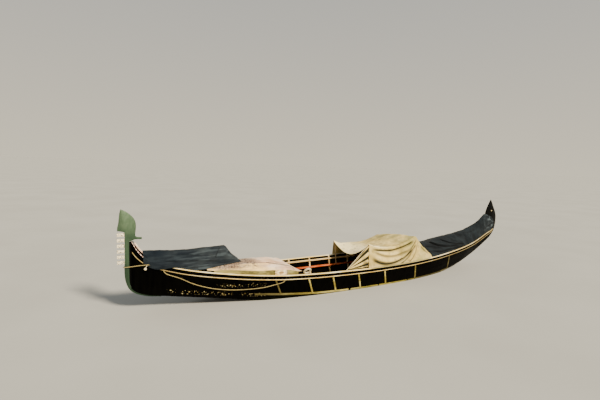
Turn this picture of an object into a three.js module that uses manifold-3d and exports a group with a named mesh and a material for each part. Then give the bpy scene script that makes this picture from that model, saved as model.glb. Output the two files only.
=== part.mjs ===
import * as THREE from 'three';
import Module from 'manifold-3d';

// Gondola laid up at its mooring, covers on. Millimetres, +X to the bow, +Y to port, +Z up.
// In the tables x runs from the stern (0) to the bow (10850) and z is the height above the water.

const wasm = await Module();
wasm.setup();

// Driving sizes
const PLANK = 20;
const PLANK_END = 9;
const BOTTOM = 20;
const POST_HALF = 14;
const GAP = 0.4;
const GUNWALE_H = 22;
const GUNWALE_IN = 34;
const GUNWALE_OUT = 12;
const RAIL_DROP = 98;
const RAIL_H = 26;
const RAIL_OUT = 18;
const BAND_H = 46;
const BAND_OUT = 12;
const BATTEN_W = 46;
const BATTEN_OUT = 12;
const BATTEN_RAKE = 170;
const DECK = 15;
const FRAME_W = 30;
const FRAME_D = 34;
const FLOOR_TIMBER = 55;
const COVER = 5;

// Colours
const BLACK = 0x0d0e0f;
const STEEL = 0x5d6f68;
const CREAM = 0xd9c692;
const OCHRE = 0xb08a45;
const OLIVE = 0x8f8844;
const REDWOOD = 0xa8502a;
const NAVY = 0x30353f;
const BEIGE = 0xc2ab7c;
const PALE = 0xd8c7a8;
const SLATE = 0x2f333b;
const ROPE = 0xc9b48a;
const BRASS = 0xd9c98f;

// Hull lines, one row a station
const LINES = [
  { x: 90, sheer: 985, bottom: 880, port: 26, star: 26, chineP: 24, chineS: 24 },
  { x: 200, sheer: 945, bottom: 762, port: 42, star: 38, chineP: 24, chineS: 24 },
  { x: 450, sheer: 885, bottom: 605, port: 82, star: 68, chineP: 27, chineS: 26 },
  { x: 800, sheer: 802, bottom: 452, port: 158, star: 124, chineP: 66, chineS: 56 },
  { x: 1300, sheer: 718, bottom: 292, port: 300, star: 230, chineP: 152, chineS: 120 },
  { x: 2000, sheer: 650, bottom: 140, port: 480, star: 362, chineP: 300, chineS: 228 },
  { x: 2800, sheer: 592, bottom: 22, port: 632, star: 476, chineP: 430, chineS: 325 },
  { x: 3700, sheer: 548, bottom: -80, port: 762, star: 574, chineP: 542, chineS: 409 },
  { x: 4500, sheer: 524, bottom: -120, port: 824, star: 622, chineP: 602, chineS: 454 },
  { x: 5450, sheer: 511, bottom: -120, port: 843, star: 636, chineP: 624, chineS: 471 },
  { x: 6700, sheer: 520, bottom: -120, port: 800, star: 604, chineP: 588, chineS: 444 },
  { x: 7600, sheer: 540, bottom: -72, port: 715, star: 540, chineP: 508, chineS: 384 },
  { x: 8400, sheer: 594, bottom: 36, port: 585, star: 442, chineP: 398, chineS: 301 },
  { x: 9100, sheer: 674, bottom: 130, port: 430, star: 326, chineP: 270, chineS: 205 },
  { x: 9600, sheer: 752, bottom: 190, port: 300, star: 229, chineP: 164, chineS: 126 },
  { x: 10000, sheer: 845, bottom: 238, port: 172, star: 134, chineP: 80, chineS: 64 },
  { x: 10250, sheer: 930, bottom: 270, port: 94, star: 78, chineP: 36, chineS: 32 },
  { x: 10400, sheer: 1045, bottom: 318, port: 56, star: 52, chineP: 25, chineS: 25 },
  { x: 10500, sheer: 1178, bottom: 372, port: 38, star: 38, chineP: 24, chineS: 24 },
  { x: 10570, sheer: 1316, bottom: 440, port: 30, star: 30, chineP: 24, chineS: 24 },
];

// Smooth curve through the points of a table that never swings past them
function curve(xs, ys) {
  const n = xs.length;
  const step = [];
  for (let i = 0; i < n - 1; i += 1) step.push((ys[i + 1] - ys[i]) / (xs[i + 1] - xs[i]));
  const slope = [step[0]];
  for (let i = 1; i < n - 1; i += 1) {
    const same = step[i - 1] * step[i] > 0;
    slope.push(same ? (2 * step[i - 1] * step[i]) / (step[i - 1] + step[i]) : 0);
  }
  slope.push(step[n - 2]);
  return (x) => {
    const c = Math.min(Math.max(x, xs[0]), xs[n - 1]);
    let i = 0;
    while (i < n - 2 && c > xs[i + 1]) i += 1;
    const h = xs[i + 1] - xs[i];
    const t = (c - xs[i]) / h;
    const a = (1 + 2 * t) * (1 - t) * (1 - t);
    const b = t * (1 - t) * (1 - t);
    const d = t * t * (3 - 2 * t);
    const e = t * t * (t - 1);
    return a * ys[i] + b * h * slope[i] + d * ys[i + 1] + e * h * slope[i + 1];
  };
}
function range(a, b, n) {
  return Array.from({ length: n + 1 }, (_, i) => a + ((b - a) * i) / n);
}

// Stations closer together at the ends, where the lines turn up
const closeUp = (t) => t - (0.8 * Math.sin(2 * Math.PI * t)) / (2 * Math.PI);
const STATIONS = range(0, 1, 36).map((t) => 90 + 10480 * closeUp(t));
const along = (a, b) => [a, ...STATIONS.filter((x) => x > a + 5 && x < b - 5), b];
const LX = LINES.map((r) => r.x);
function column(key) {
  const f = curve(LX, LINES.map((r) => r[key]));
  return (x) => {
    const c = Math.min(Math.max(x, STATIONS[0]), STATIONS[36]);
    let i = 0;
    while (i < 35 && c > STATIONS[i + 1]) i += 1;
    const t = (c - STATIONS[i]) / (STATIONS[i + 1] - STATIONS[i]);
    return f(STATIONS[i]) * (1 - t) + f(STATIONS[i + 1]) * t;
  };
}
const sheer = column('sheer');
const bottom = column('bottom');
const breadth = { 1: column('port'), [-1]: column('star') };
const chine = { 1: column('chineP'), [-1]: column('chineS') };
const plank = curve(
  [90, 620, 1500, 9000, 10300, 10570],
  [PLANK_END, PLANK_END, PLANK, PLANK, PLANK_END, PLANK_END],
);

// Half breadth of the hull's outside at height z, unsigned
function side(x, z, s) {
  const k = (z - bottom(x)) / (sheer(x) - bottom(x));
  const t = Math.min(Math.max(k, 0), 1);
  const belly = 40 * t * (1 - t) * Math.min(1, breadth[s](x) / 300);
  return chine[s](x) + (breadth[s](x) - chine[s](x)) * t + belly;
}
const inside = (x, z, s) => side(x, z, s) - plank(x) * 1.06;

// A closed body from a row of rings with the same number of points
function loft(rings) {
  const n = rings[0].length;
  const pos = rings.flat().flat();
  const idx = [];
  for (let i = 0; i < rings.length - 1; i += 1) {
    for (let j = 0; j < n; j += 1) {
      const k = (j + 1) % n;
      const a = i * n + j;
      const b = i * n + k;
      idx.push(a, b, b + n, a, b + n, a + n);
    }
  }
  const flat = (r, drop) => r.map((p) => {
    const q = p.filter((_, m) => m !== drop);
    return new THREE.Vector2(q[0], q[1]);
  });
  const drop = (r) => {
    const span = [0, 1, 2].map((m) => Math.max(...r.map((p) => p[m])) - Math.min(...r.map((p) => p[m])));
    return span.indexOf(Math.min(...span));
  };
  const first = rings[0];
  const last = rings[rings.length - 1];
  const d0 = drop(first);
  const d1 = drop(last);
  const t0 = THREE.ShapeUtils.triangulateShape(flat(first, d0), []);
  const t1 = THREE.ShapeUtils.triangulateShape(flat(last, d1), []);
  const base = (rings.length - 1) * n;
  // the cap's edges run against the wall's edges, so both turn the same way out
  const forward = (tris) => tris.some((t) => (t[1] - t[0] + n) % n === 1 || (t[2] - t[1] + n) % n === 1
    || (t[0] - t[2] + n) % n === 1);
  for (const t of t0) idx.push(...(forward(t0) ? [t[2], t[1], t[0]] : t));
  for (const t of t1) idx.push(...(forward(t1) ? t : [t[2], t[1], t[0]]).map((q) => q + base));
  return outward(pos, idx);
}

// Volume with sign, used to turn a body's faces outwards
function outward(pos, idx) {
  let v = 0;
  for (let i = 0; i < idx.length; i += 3) {
    const [a, b, c] = [idx[i] * 3, idx[i + 1] * 3, idx[i + 2] * 3];
    v += pos[a] * (pos[b + 1] * pos[c + 2] - pos[b + 2] * pos[c + 1])
      + pos[a + 1] * (pos[b + 2] * pos[c] - pos[b] * pos[c + 2])
      + pos[a + 2] * (pos[b] * pos[c + 1] - pos[b + 1] * pos[c]);
  }
  const out = idx.slice();
  if (v < 0) for (let i = 0; i < out.length; i += 3) [out[i], out[i + 1]] = [out[i + 1], out[i]];
  const g = new THREE.BufferGeometry();
  g.setAttribute('position', new THREE.Float32BufferAttribute(pos, 3));
  g.setIndex(out);
  return g;
}

// A sheet of cloth: a grid of points along its underside, made t thick outwards
function cloth(grid, t) {
  const m = grid.length;
  const n = grid[0].length;
  const P = grid.map((r) => r.map((p) => new THREE.Vector3(...p)));
  const over = P.map((r, i) => r.map((p, j) => {
    const u = P[Math.min(i + 1, m - 1)][j].clone().sub(P[Math.max(i - 1, 0)][j]);
    const v = P[i][Math.min(j + 1, n - 1)].clone().sub(P[i][Math.max(j - 1, 0)]);
    return p.clone().addScaledVector(v.cross(u).normalize(), t);
  }));
  const pos = [...P.flat(), ...over.flat()].flatMap((p) => [p.x, p.y, p.z]);
  const idx = [];
  const off = m * n;
  const quad = (a, b, c, d) => idx.push(a, b, c, a, c, d);
  for (let i = 0; i < m - 1; i += 1) {
    for (let j = 0; j < n - 1; j += 1) {
      const a = i * n + j;
      quad(a, a + n, a + n + 1, a + 1);
      quad(off + a, off + a + 1, off + a + n + 1, off + a + n);
    }
  }
  for (let i = 0; i < m - 1; i += 1) {
    const a = i * n;
    const b = a + n - 1;
    quad(a, off + a, off + a + n, a + n);
    quad(b, b + n, off + b + n, off + b);
  }
  for (let j = 0; j < n - 1; j += 1) {
    const b = (m - 1) * n + j;
    quad(j, j + 1, off + j + 1, off + j);
    quad(b, off + b, off + b + 1, b + 1);
  }
  return outward(pos, idx);
}

// A flat plate cut to an outline in the x, z plane, thick across the boat
function plateXZ(points, y0, y1) {
  const ring = (y) => points.map(([x, z]) => [x, y, z]);
  return loft([ring(y0), ring(y1)]);
}

function box(x0, x1, y0, y1, z0, z1) {
  const g = new THREE.BoxGeometry(x1 - x0, y1 - y0, z1 - z0);
  g.translate((x0 + x1) / 2, (y0 + y1) / 2, (z0 + z1) / 2);
  return g;
}

// A round bar or rope along a smooth line
function rope(points, r, steps, sides = 8) {
  const path = new THREE.CatmullRomCurve3(points.map((p) => new THREE.Vector3(...p)));
  const shape = new THREE.Shape(range(0, 2 * Math.PI, sides).slice(0, sides)
    .map((a) => new THREE.Vector2(r * Math.cos(a), r * Math.sin(a))));
  return new THREE.ExtrudeGeometry(shape, { steps, extrudePath: path, bevelEnabled: false });
}

function bar(a, b, r, sides = 10) {
  const p = new THREE.Vector3(...a);
  const q = new THREE.Vector3(...b);
  const g = new THREE.CylinderGeometry(r, r, p.distanceTo(q), sides);
  const way = q.clone().sub(p).normalize();
  const turn = new THREE.Quaternion().setFromUnitVectors(new THREE.Vector3(0, 1, 0), way);
  g.applyQuaternion(turn);
  g.translate((p.x + q.x) / 2, (p.y + q.y) / 2, (p.z + q.z) / 2);
  return g;
}

// Joining shapes into one body
function solid(g) {
  const w = g.index ? g.toNonIndexed() : g;
  const seen = new Map();
  const vert = [];
  const tri = [];
  const p = w.attributes.position;
  for (let i = 0; i < p.count; i += 1) {
    const key = [p.getX(i), p.getY(i), p.getZ(i)].map((q) => Math.round(q * 1e4)).join(' ');
    if (!seen.has(key)) {
      seen.set(key, vert.length / 3);
      vert.push(p.getX(i), p.getY(i), p.getZ(i));
    }
    tri.push(seen.get(key));
  }
  const keep = [];
  for (let i = 0; i < tri.length; i += 3) {
    const [a, b, c] = [tri[i], tri[i + 1], tri[i + 2]];
    if (a !== b && b !== c && a !== c) keep.push(a, b, c);
  }
  return new wasm.Manifold(new wasm.Mesh({
    numProp: 3, vertProperties: new Float32Array(vert), triVerts: new Uint32Array(keep),
  }));
}
function shape(m) {
  const mesh = m.getMesh();
  const g = new THREE.BufferGeometry();
  g.setAttribute('position', new THREE.Float32BufferAttribute(Array.from(mesh.vertProperties), 3));
  g.setIndex(Array.from(mesh.triVerts));
  return g;
}
const union = (list) => shape(wasm.Manifold.union(list.map(solid)));

const group = new THREE.Group();
group.name = 'gondola';
const made = [];
function add(name, geometry, colour, roughness, metalness = 0) {
  const material = new THREE.MeshStandardMaterial({ color: colour, roughness, metalness });
  const mesh = new THREE.Mesh(geometry, material);
  mesh.name = name;
  group.add(mesh);
  made.push(mesh);
}

const SIDES = [
  { side: 'port', s: 1 },
  { side: 'starboard', s: -1 },
];

// Bottom planking, between the two sides
add('bottom_planking', loft(along(760, 10160).map((x) => {
  const z = bottom(x);
  const p = inside(x, z, 1) - 1;
  const q = inside(x, z, -1) - 1;
  const rp = (side(x, z + BOTTOM, 1) - side(x, z, 1));
  const rs = (side(x, z + BOTTOM, -1) - side(x, z, -1));
  return [[x, p, z], [x, p + rp * 0.9, z + BOTTOM], [x, -q - rs * 0.9, z + BOTTOM], [x, -q, z]];
})), BLACK, 0.35);

// The planking and the gunwale cap of each side come in four lengths, butted at the bulkheads and amidships
const LENGTHS = [
  { part: 'aft', x0: 90, x1: 3480 },
  { part: 'waist_aft', x0: 3480.3, x1: 5870 },
  { part: 'waist_fore', x0: 5870.3, x1: 8260 },
  { part: 'fore', x0: 8260.3, x1: 10570 },
];
const bandZ = curve([1900, 2600, 3500, 4200, 5200, 6000, 6650, 7250, 8000, 8340],
  [36, 12, -4, -10, -2, 5, 20, 50, 106, 136]);
for (const { side: name, s } of SIDES) {
  for (const { part, x0, x1 } of LENGTHS) {
    // Side planking, four rows high, up to the underside of the gunwale
    add(`side_planking_${name}_${part}`, loft(along(x0, x1).map((x) => {
      const top = sheer(x) - GUNWALE_H - GAP;
      const zs = range(bottom(x), top, 3);
      const out = zs.map((z) => [x, s * side(x, z, s), z]);
      const inn = zs.map((z) => [x, s * inside(x, z, s), z]);
      return [...out, ...inn.reverse()];
    })), BLACK, 0.22);

    // Gunwale, a cap on the side planking
    add(`gunwale_${name}_${part}`, loft(along(x0, x1).map((x) => {
      const b = side(x, sheer(x), s);
      const y0 = s * Math.max(b - GUNWALE_IN, POST_HALF + GAP);
      const y1 = s * (b + GUNWALE_OUT);
      const z1 = sheer(x);
      const z0 = z1 - GUNWALE_H;
      return [[x, y0, z0], [x, y1, z0], [x, y1, z1], [x, y0, z1]];
    })), CREAM, 0.45);
  }

  // Rub rail, a half round strip below the gunwale
  add(`rub_rail_${name}`, loft(along(130, 10560).map((x) => {
    const z = sheer(x) - RAIL_DROP * Math.min(1, (sheer(x) - bottom(x)) / 300);
    const ring = [[0, -0.5], [0.75, -0.42], [1, 0], [0.75, 0.42], [0, 0.5]];
    return ring.map(([o, h]) => {
      const zz = z + h * RAIL_H;
      const y = o === 0 ? side(x, zz, s) + 1 : side(x, z, s) + 1 + o * RAIL_OUT;
      return [x, s * y, zz];
    });
  })), OCHRE, 0.45);

  // Band just above the water with the upright battens between it and the rub rail
  const band = loft(along(1900, 8340).map((x) => {
    const z0 = bandZ(x);
    const z1 = z0 + BAND_H;
    const a = side(x, z0, s);
    const b = side(x, z1, s);
    const corner = (y, z) => [x, s * y, z];
    return [corner(a + 1.2, z0), corner(a + BAND_OUT, z0), corner(b + BAND_OUT, z1), corner(b + 1.2, z1)];
  }));
  const battens = [2760, 4210, 5230, 5990, 6660, 7240, 7960].map((head) => {
    const z0 = bandZ(head - BATTEN_RAKE) + 8;
    const z1 = sheer(head) - RAIL_DROP - RAIL_H / 2 - 6;
    return loft(range(0, 1, 3).map((t) => {
      const z = z0 + (z1 - z0) * t;
      const x = head - BATTEN_RAKE * (1 - t);
      const y = (q, out) => [q, s * (side(q, z, s) + out), z];
      const [a, b] = [x - BATTEN_W / 2, x + BATTEN_W / 2];
      return [y(a, 1.2), y(a, BATTEN_OUT + 3), y(b, BATTEN_OUT + 3), y(b, 1.2)];
    }));
  });
  add(`water_band_${name}`, union([band, ...battens]), OLIVE, 0.55);
}

// Stem and stern posts, upright boards on the centre line
const STEM = [
  [10180, 263], [10250, 271], [10400, 319], [10500, 373], [10570, 442], [10597, 520], [10604, 660],
  [10604, 1302], [10532, 1302], [10530, 660], [10500, 560], [10400, 455], [10180, 360],
];
add('stem_post', plateXZ(STEM, -POST_HALF, POST_HALF), BLACK, 0.25);

const STERN = [
  [262, 1890], [195, 1800], [130, 1690], [50, 1580], [-8, 1470], [-36, 1380], [-42, 1280], [-34, 1130],
  [0, 1000], [48, 905], [115, 820], [210, 742], [340, 664], [480, 590], [620, 525], [740, 474],
  [740, 560], [620, 622], [430, 745], [300, 860], [240, 960], [250, 1060], [330, 1170], [430, 1290],
  [485, 1400], [478, 1500], [440, 1600], [390, 1690], [332, 1790],
];
add('stern_post', plateXZ(STERN, -POST_HALF, POST_HALF), BLACK, 0.25);

for (const { side: name, s } of SIDES) {
  const ball = new THREE.SphereGeometry(21, 14, 10);
  ball.scale(1, 0.6, 1);
  ball.translate(212, s * (POST_HALF + 0.6 * 21 + GAP), 1552);
  add(`stern_stud_${name}`, ball, BRASS, 0.3, 0.9);
}

// Bow iron: the blade, the band down the stem, six teeth ahead and one behind
const TEETH = [930, 1030, 1130, 1230, 1330, 1430];
const ironFront = [
  [10055, 216], [10250, 238], [10410, 285], [10520, 338], [10600, 410], [10645, 495], [10674, 600],
  [10686, 720], [10686, 880],
];
for (const z of TEETH) {
  ironFront.push([10678, z - 31], [10806, z - 31], [10806, z + 31], [10678, z + 31]);
}
const IRON = [
  ...ironFront,
  [10690, 1478], [10740, 1492], [10800, 1500], [10800, 1552], [10782, 1630], [10772, 1720], [10762, 1830],
  [10742, 1890], [10662, 1852], [10600, 1803], [10530, 1732], [10494, 1650], [10488, 1560], [10500, 1470],
  [10508, 1385], [10392, 1372], [10392, 1334], [10520, 1340], [10545, 1318],
  [10604.5, 1306], [10604.5, 660], [10597.5, 519.8], [10570.5, 441.4], [10500.4, 372.2], [10400.3, 318],
  [10250.2, 269], [10180, 259], [10055, 235],
];
add('bow_iron', plateXZ(IRON, -9, 9), STEEL, 0.45, 0.6);

// Decks: a skin that runs under the gunwales and rises to a ridge
function deckLine(x, drop, c) {
  const z = sheer(x) - GUNWALE_H - GAP - 1 - drop;
  const low = sheer(x) - GUNWALE_H - GAP - 1 - DECK;
  const ledge = Math.max(3, GUNWALE_IN - plank(x) + 3);
  const half = (s) => {
    const e = inside(x, low, s) - 1.5;
    const a = Math.max(e - ledge, 2);
    return [[e, 0], [a, 0], [a * 0.5, 0.7]].map(([y, k]) => [x, s * y, z + c * k]);
  };
  return [...half(1), [x, 0, z + c], ...half(-1).reverse()];
}
function deck(x0, x1, crown) {
  const ring = (x) => [...deckLine(x, 0, crown(x)), ...deckLine(x, DECK, crown(x)).reverse()];
  return loft(along(x0, x1).map(ring));
}
const foreCrown = curve([8600, 9600, 10200, 10400, 10520], [70, 75, 62, 66, 70]);
const aftCrown = curve([760, 1500, 3300], [60, 70, 60]);
add('foredeck', deck(8620, 10520, foreCrown), BLACK, 0.3);
add('afterdeck', deck(760, 3290, aftCrown), BLACK, 0.3);

// Rope moulding along the foredeck's ridge
const ridge = (x) => sheer(x) - GUNWALE_H - GAP - 1 + foreCrown(x);
add('foredeck_moulding', loft(along(9300, 10515).map((x) => {
  const r = 17;
  const z = ridge(x) + r + 2;
  return range(0, 2 * Math.PI, 8).slice(0, 8).map((a) => [x, r * Math.cos(a), z + r * Math.sin(a)]);
})), PALE, 0.6);

// Bulkheads that close the space under each deck
function bulkhead(x0, x1, crown) {
  return loft([x0, x1].map((x) => {
    const top = deckLine(x, DECK + 0.5, crown(x));
    const zs = range(bottom(x) + BOTTOM + 2, top[0][2] - 4, 3);
    const edge = (s) => zs.map((z) => [x, s * (inside(x, z, s) - 1), z]);
    return [...edge(1), ...top.map(([a, y, z]) => [a, y * 0.99, z]), ...edge(-1).reverse()];
  }));
}
add('fore_bulkhead', bulkhead(8640, 8656, foreCrown), OCHRE, 0.5);
add('aft_bulkhead', bulkhead(3250, 3266, aftCrown), OCHRE, 0.5);

// Frames: upright ribs on each side, tied together by two stringers
const FRAMES = [3510, 4100, 4690, 5280, 5870, 6460, 7050, 7640, 8230];
function rib(x, s) {
  return loft([x - FRAME_W / 2, x + FRAME_W / 2].map((q) => {
    const zs = range(bottom(x) + BOTTOM + 6, sheer(x) - GUNWALE_H - GAP - 1, 3);
    const out = zs.map((z) => [q, s * (inside(q, z, s) - 1), z]);
    const inn = zs.map((z) => [q, s * (inside(q, z, s) - 1 - FRAME_D), z]);
    return [...out, ...inn.reverse()];
  }));
}
function stringer(s, drop, h, w) {
  return loft(along(3490, 8250).map((x) => {
    const z1 = sheer(x) - drop;
    const z0 = z1 - h;
    const a = inside(x, z0, s) - FRAME_D + 6;
    return [[x, s * (a - w), z0], [x, s * a, z0], [x, s * a, z1], [x, s * (a - w), z1]];
  }));
}
for (const { side: name, s } of SIDES) {
  add(`frames_${name}`, union([
    ...FRAMES.map((x) => rib(x, s)),
    stringer(s, 62, 34, 26),
    stringer(s, 215, 24, 78),
  ]), REDWOOD, 0.5);
}

// Floorboards with the floor timbers that carry them
const floorZ = (x) => bottom(x) + BOTTOM + 1.5 + FLOOR_TIMBER;
function floorHalf(x, z, s) {
  return inside(x, z, s) - FRAME_D - 12;
}
function floor(x0, x1) {
  const boards = loft(along(x0, x1).map((x) => {
    const z = floorZ(x);
    const p = floorHalf(x, z, 1);
    const q = floorHalf(x, z, -1);
    return [[x, p, z], [x, p, z + 14], [x, -q, z + 14], [x, -q, z]];
  }));
  const timbers = FRAMES.filter((x) => x > x0 && x < x1).map((x) => {
    const lift = Math.abs(bottom(x + 15) - bottom(x - 15));
    const z0 = bottom(x) + BOTTOM + GAP + lift * 0.7;
    return loft([x - FRAME_W / 2, x + FRAME_W / 2].map((q) => {
      const p = floorHalf(x, z0, 1) - 4;
      const r = floorHalf(x, z0, -1) - 4;
      const z1 = floorZ(x) + 5;
      return [[q, p, z0], [q, p, z1], [q, -r, z1], [q, -r, z0]];
    }));
  });
  return union([boards, ...timbers]);
}
add('floorboards_aft', floor(3480, 5868), OCHRE, 0.6);
add('floorboards_fore', floor(5872, 8260), OCHRE, 0.6);

// Passenger seat: a boxed base, a cushion and a high back
const SEAT_Z = floorZ(4262) + 14 + GAP;
add('seat_base', box(4300.4, 4860, -330, 500, SEAT_Z, 250), REDWOOD, 0.5);
add('seat_cushion', box(4310, 4870, -320, 490, 250.4, 345), 0x5a2a22, 0.8);
const SEAT_BACK = [
  [-340, SEAT_Z], [510, SEAT_Z], [540, 700], [430, 860], [240, 960], [85, 990], [-70, 960], [-260, 860],
  [-370, 700],
];
add('seat_back', loft([4262, 4300].map((x) => SEAT_BACK.map(([y, z]) => [x, y, z]))), REDWOOD, 0.5);

// Cover over the passenger seat, open ahead, held up at four corners
const MID = [
  { x: 5730, port: 1055, star: 872, mid: 672 },
  { x: 5560, port: 985, star: 815, mid: 742 },
  { x: 5300, port: 940, star: 790, mid: 812 },
  { x: 5000, port: 935, star: 790, mid: 885 },
  { x: 4700, port: 975, star: 830, mid: 965 },
  { x: 4450, port: 1050, star: 895, mid: 1042 },
  { x: 4270, port: 1128, star: 950, mid: 1064 },
  { x: 4080, port: 960, star: 850, mid: 990 },
  { x: 3850, port: 765, star: 715, mid: 800 },
  { x: 3600, port: 612, star: 612, mid: 705 },
];
const seatHem = curve([3600, 3900, 4080], [-3, -3, 6]);
const midX = MID.map((r) => r.x).reverse();
const midRow = (key) => curve(midX, MID.map((r) => r[key]).reverse());
const mid = { port: midRow('port'), star: midRow('star'), top: midRow('mid') };
add('cover_mid', cloth(along(3600, 5730).map((x) => {
  const b = side(x, sheer(x), 1);
  const c = side(x, sheer(x), -1);
  const hem = seatHem(x);
  const z0 = sheer(x) + GAP;
  const port = mid.port(x);
  const star = mid.star(x);
  const row = range(0, 1, 3).map((k) => [x, b - hem - k * (46 - hem), z0 + (port - z0) * k]);
  for (const k of range(0, 1, 8).slice(1, 8)) {
    const sag = (mid.top(x) - (port + star) / 2) * Math.pow(Math.sin(Math.PI * k), 0.9);
    row.push([x, b - 46 - k * (b + c - 92), port + (star - port) * k + sag]);
  }
  for (const k of range(1, 0, 3)) row.push([x, -(c - hem) + k * (46 - hem), z0 + (star - z0) * k]);
  return row;
}), COVER), BEIGE, 0.9);

// Posts at the corners of that cover, standing on the lower stringers
const POSTS = [
  { name: 'cover_post_front_port', s: 1, x: 5690, z: 1000 },
  { name: 'cover_post_front_starboard', s: -1, x: 5690, z: 820 },
  { name: 'cover_post_rear_port', s: 1, x: 4390, z: 1030 },
  { name: 'cover_post_rear_starboard', s: -1, x: 4390, z: 880 },
];
for (const p of POSTS) {
  const z0 = sheer(p.x) - 215 + 2;
  const foot = inside(p.x, z0, p.s) - FRAME_D - 34;
  const head = breadth[p.s](p.x) - 70;
  add(p.name, bar([p.x, p.s * foot, z0], [p.x, p.s * head, p.z], 12), PALE, 0.6);
}

// Washboards that stand on the inner edge of each gunwale beside the fore cockpit
const WASH_T = 14;
const washUp = curve([7480, 7700, 8000, 8300, 8700, 9000, 9150], [60, 98, 95, 72, 70, 52, 24]);
for (const { side: name, s } of SIDES) {
  add(`washboard_${name}`, loft(along(7480, 9150).map((x) => {
    const a = side(x, sheer(x), s) - GUNWALE_IN - GAP;
    const z0 = sheer(x) - 15;
    const z1 = sheer(x) + washUp(x);
    return [[x, s * (a - WASH_T), z0], [x, s * a, z0], [x, s * a, z1], [x, s * (a - WASH_T), z1]];
  })), OLIVE, 0.6);
}

// Cover over the fore cockpit: its port edge lies on the washboard, a ridge runs beside that, and the top falls
// away to starboard
const FORE_COVER = [
  { x: 7400, ridge: 588, middle: 590, ridgeY: 480, low: 565 },
  { x: 7550, ridge: 648, middle: 645, ridgeY: 462, low: 600 },
  { x: 7750, ridge: 694, middle: 704, ridgeY: 440, low: 640 },
  { x: 8050, ridge: 760, middle: 768, ridgeY: 410, low: 690 },
  { x: 8300, ridge: 788, middle: 790, ridgeY: 390, low: 710 },
  { x: 8620, ridge: 780, middle: 792, ridgeY: 350, low: 730 },
  { x: 9000, ridge: 768, middle: 800, ridgeY: 300, low: 758 },
  { x: 9280, ridge: 782, middle: 812, ridgeY: 262, low: 775 },
];
const foreX = FORE_COVER.map((r) => r.x);
const foreRow = (key) => curve(foreX, FORE_COVER.map((r) => r[key]));
const fore = {
  ridge: foreRow('ridge'), middle: foreRow('middle'), ridgeY: foreRow('ridgeY'), low: foreRow('low'),
};
function foreLine(x) {
  const b = side(x, sheer(x), 1) - GUNWALE_IN - GAP - 5;
  const c = side(x, sheer(x), -1) - GUNWALE_IN - GAP - 5;
  const up = (x < 9150 ? washUp(x) : washUp(9150)) + GAP;
  const z0 = sheer(x) + Math.max(up, 0);
  const r = fore.ridgeY(x);
  const low = Math.max(fore.low(x), z0 + 14);
  const q = c * 0.6;
  const rise = (t) => Math.pow(t, 0.8);
  const crown = fore.middle(x) - (fore.ridge(x) + low) / 2;
  const topZ = (t) => fore.ridge(x) + (low - fore.ridge(x)) * t + crown * Math.sin(Math.PI * t);
  return [
    ...range(0, 2 / 3, 2).map((t) => [x, b + (r - b) * t, z0 + (fore.ridge(x) - z0) * rise(t)]),
    ...range(0, 1, 5).map((t) => [x, r - (r + q) * t, topZ(t)]),
    ...range(1 / 3, 1, 2).map((t) => [x, -q - (c - q) * t, low + (z0 - low) * t * t]),
  ];
}
add('cover_fore', cloth(along(7400, 9280).map(foreLine), COVER), PALE, 0.85);

// Tents over the foredeck and the afterdeck, between the gunwales
function tent(rows) {
  const xs = rows.map((r) => r.x);
  const top = curve(xs, rows.map((r) => r.z));
  const full = curve(xs, rows.map((r) => r.full));
  return (x) => range(-1, 1, 12).map((k) => {
    const y = k < 0 ? -k * (side(x, sheer(x), 1) - 4) : -k * (side(x, sheer(x), -1) - 4);
    const z0 = sheer(x) + GAP;
    return [x, y, z0 + (top(x) - z0) * Math.pow(Math.cos((Math.abs(k) * Math.PI) / 2), full(x))];
  });
}
const BOW_TENT = [
  { x: 8560, z: 826, full: 0.5 },
  { x: 8680, z: 925, full: 0.7 },
  { x: 8860, z: 1108, full: 1.3 },
  { x: 9180, z: 1092, full: 1.4 },
  { x: 9520, z: 1082, full: 1.4 },
  { x: 10080, z: 1098, full: 1.1 },
  { x: 10380, z: 1120, full: 0.9 },
];
// Aft of this station the bow cover's edges leave the gunwales and lie on the fore cover
const BOW_LAP = 9450;
const LAP_CLEAR = 14;
const lapIn = curve([8560, 8750, 9000, 9200, BOW_LAP], [0.50, 0.57, 0.70, 0.84, 1]);
const bowTent = tent(BOW_TENT);
function onForeCover(x, y) {
  const line = foreLine(Math.min(x, 9280));
  let i = 0;
  while (i < line.length - 2 && y < line[i + 1][1]) i += 1;
  const t = Math.min(Math.max((line[i][1] - y) / (line[i][1] - line[i + 1][1]), 0), 1);
  return line[i][2] + (line[i + 1][2] - line[i][2]) * t;
}
add('cover_bow', cloth(along(8560, 10380).map((x) => bowTent(x).map(([, y, z]) => {
  if (x >= BOW_LAP) return [x, y, z];
  const yy = y * lapIn(x);
  return [x, yy, Math.max(z, onForeCover(x, yy) + COVER + LAP_CLEAR)];
})), COVER), NAVY, 0.85);

const AFT_TENT = [
  { x: 560, z: 1452, full: 1.0 },
  { x: 850, z: 1240, full: 1.1 },
  { x: 1040, z: 1160, full: 1.2 },
  { x: 1600, z: 990, full: 1.2 },
  { x: 2330, z: 890, full: 1.0 },
  { x: 3400, z: 705, full: 0.9 },
  { x: 3860, z: 618, full: 0.9 },
];
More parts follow.
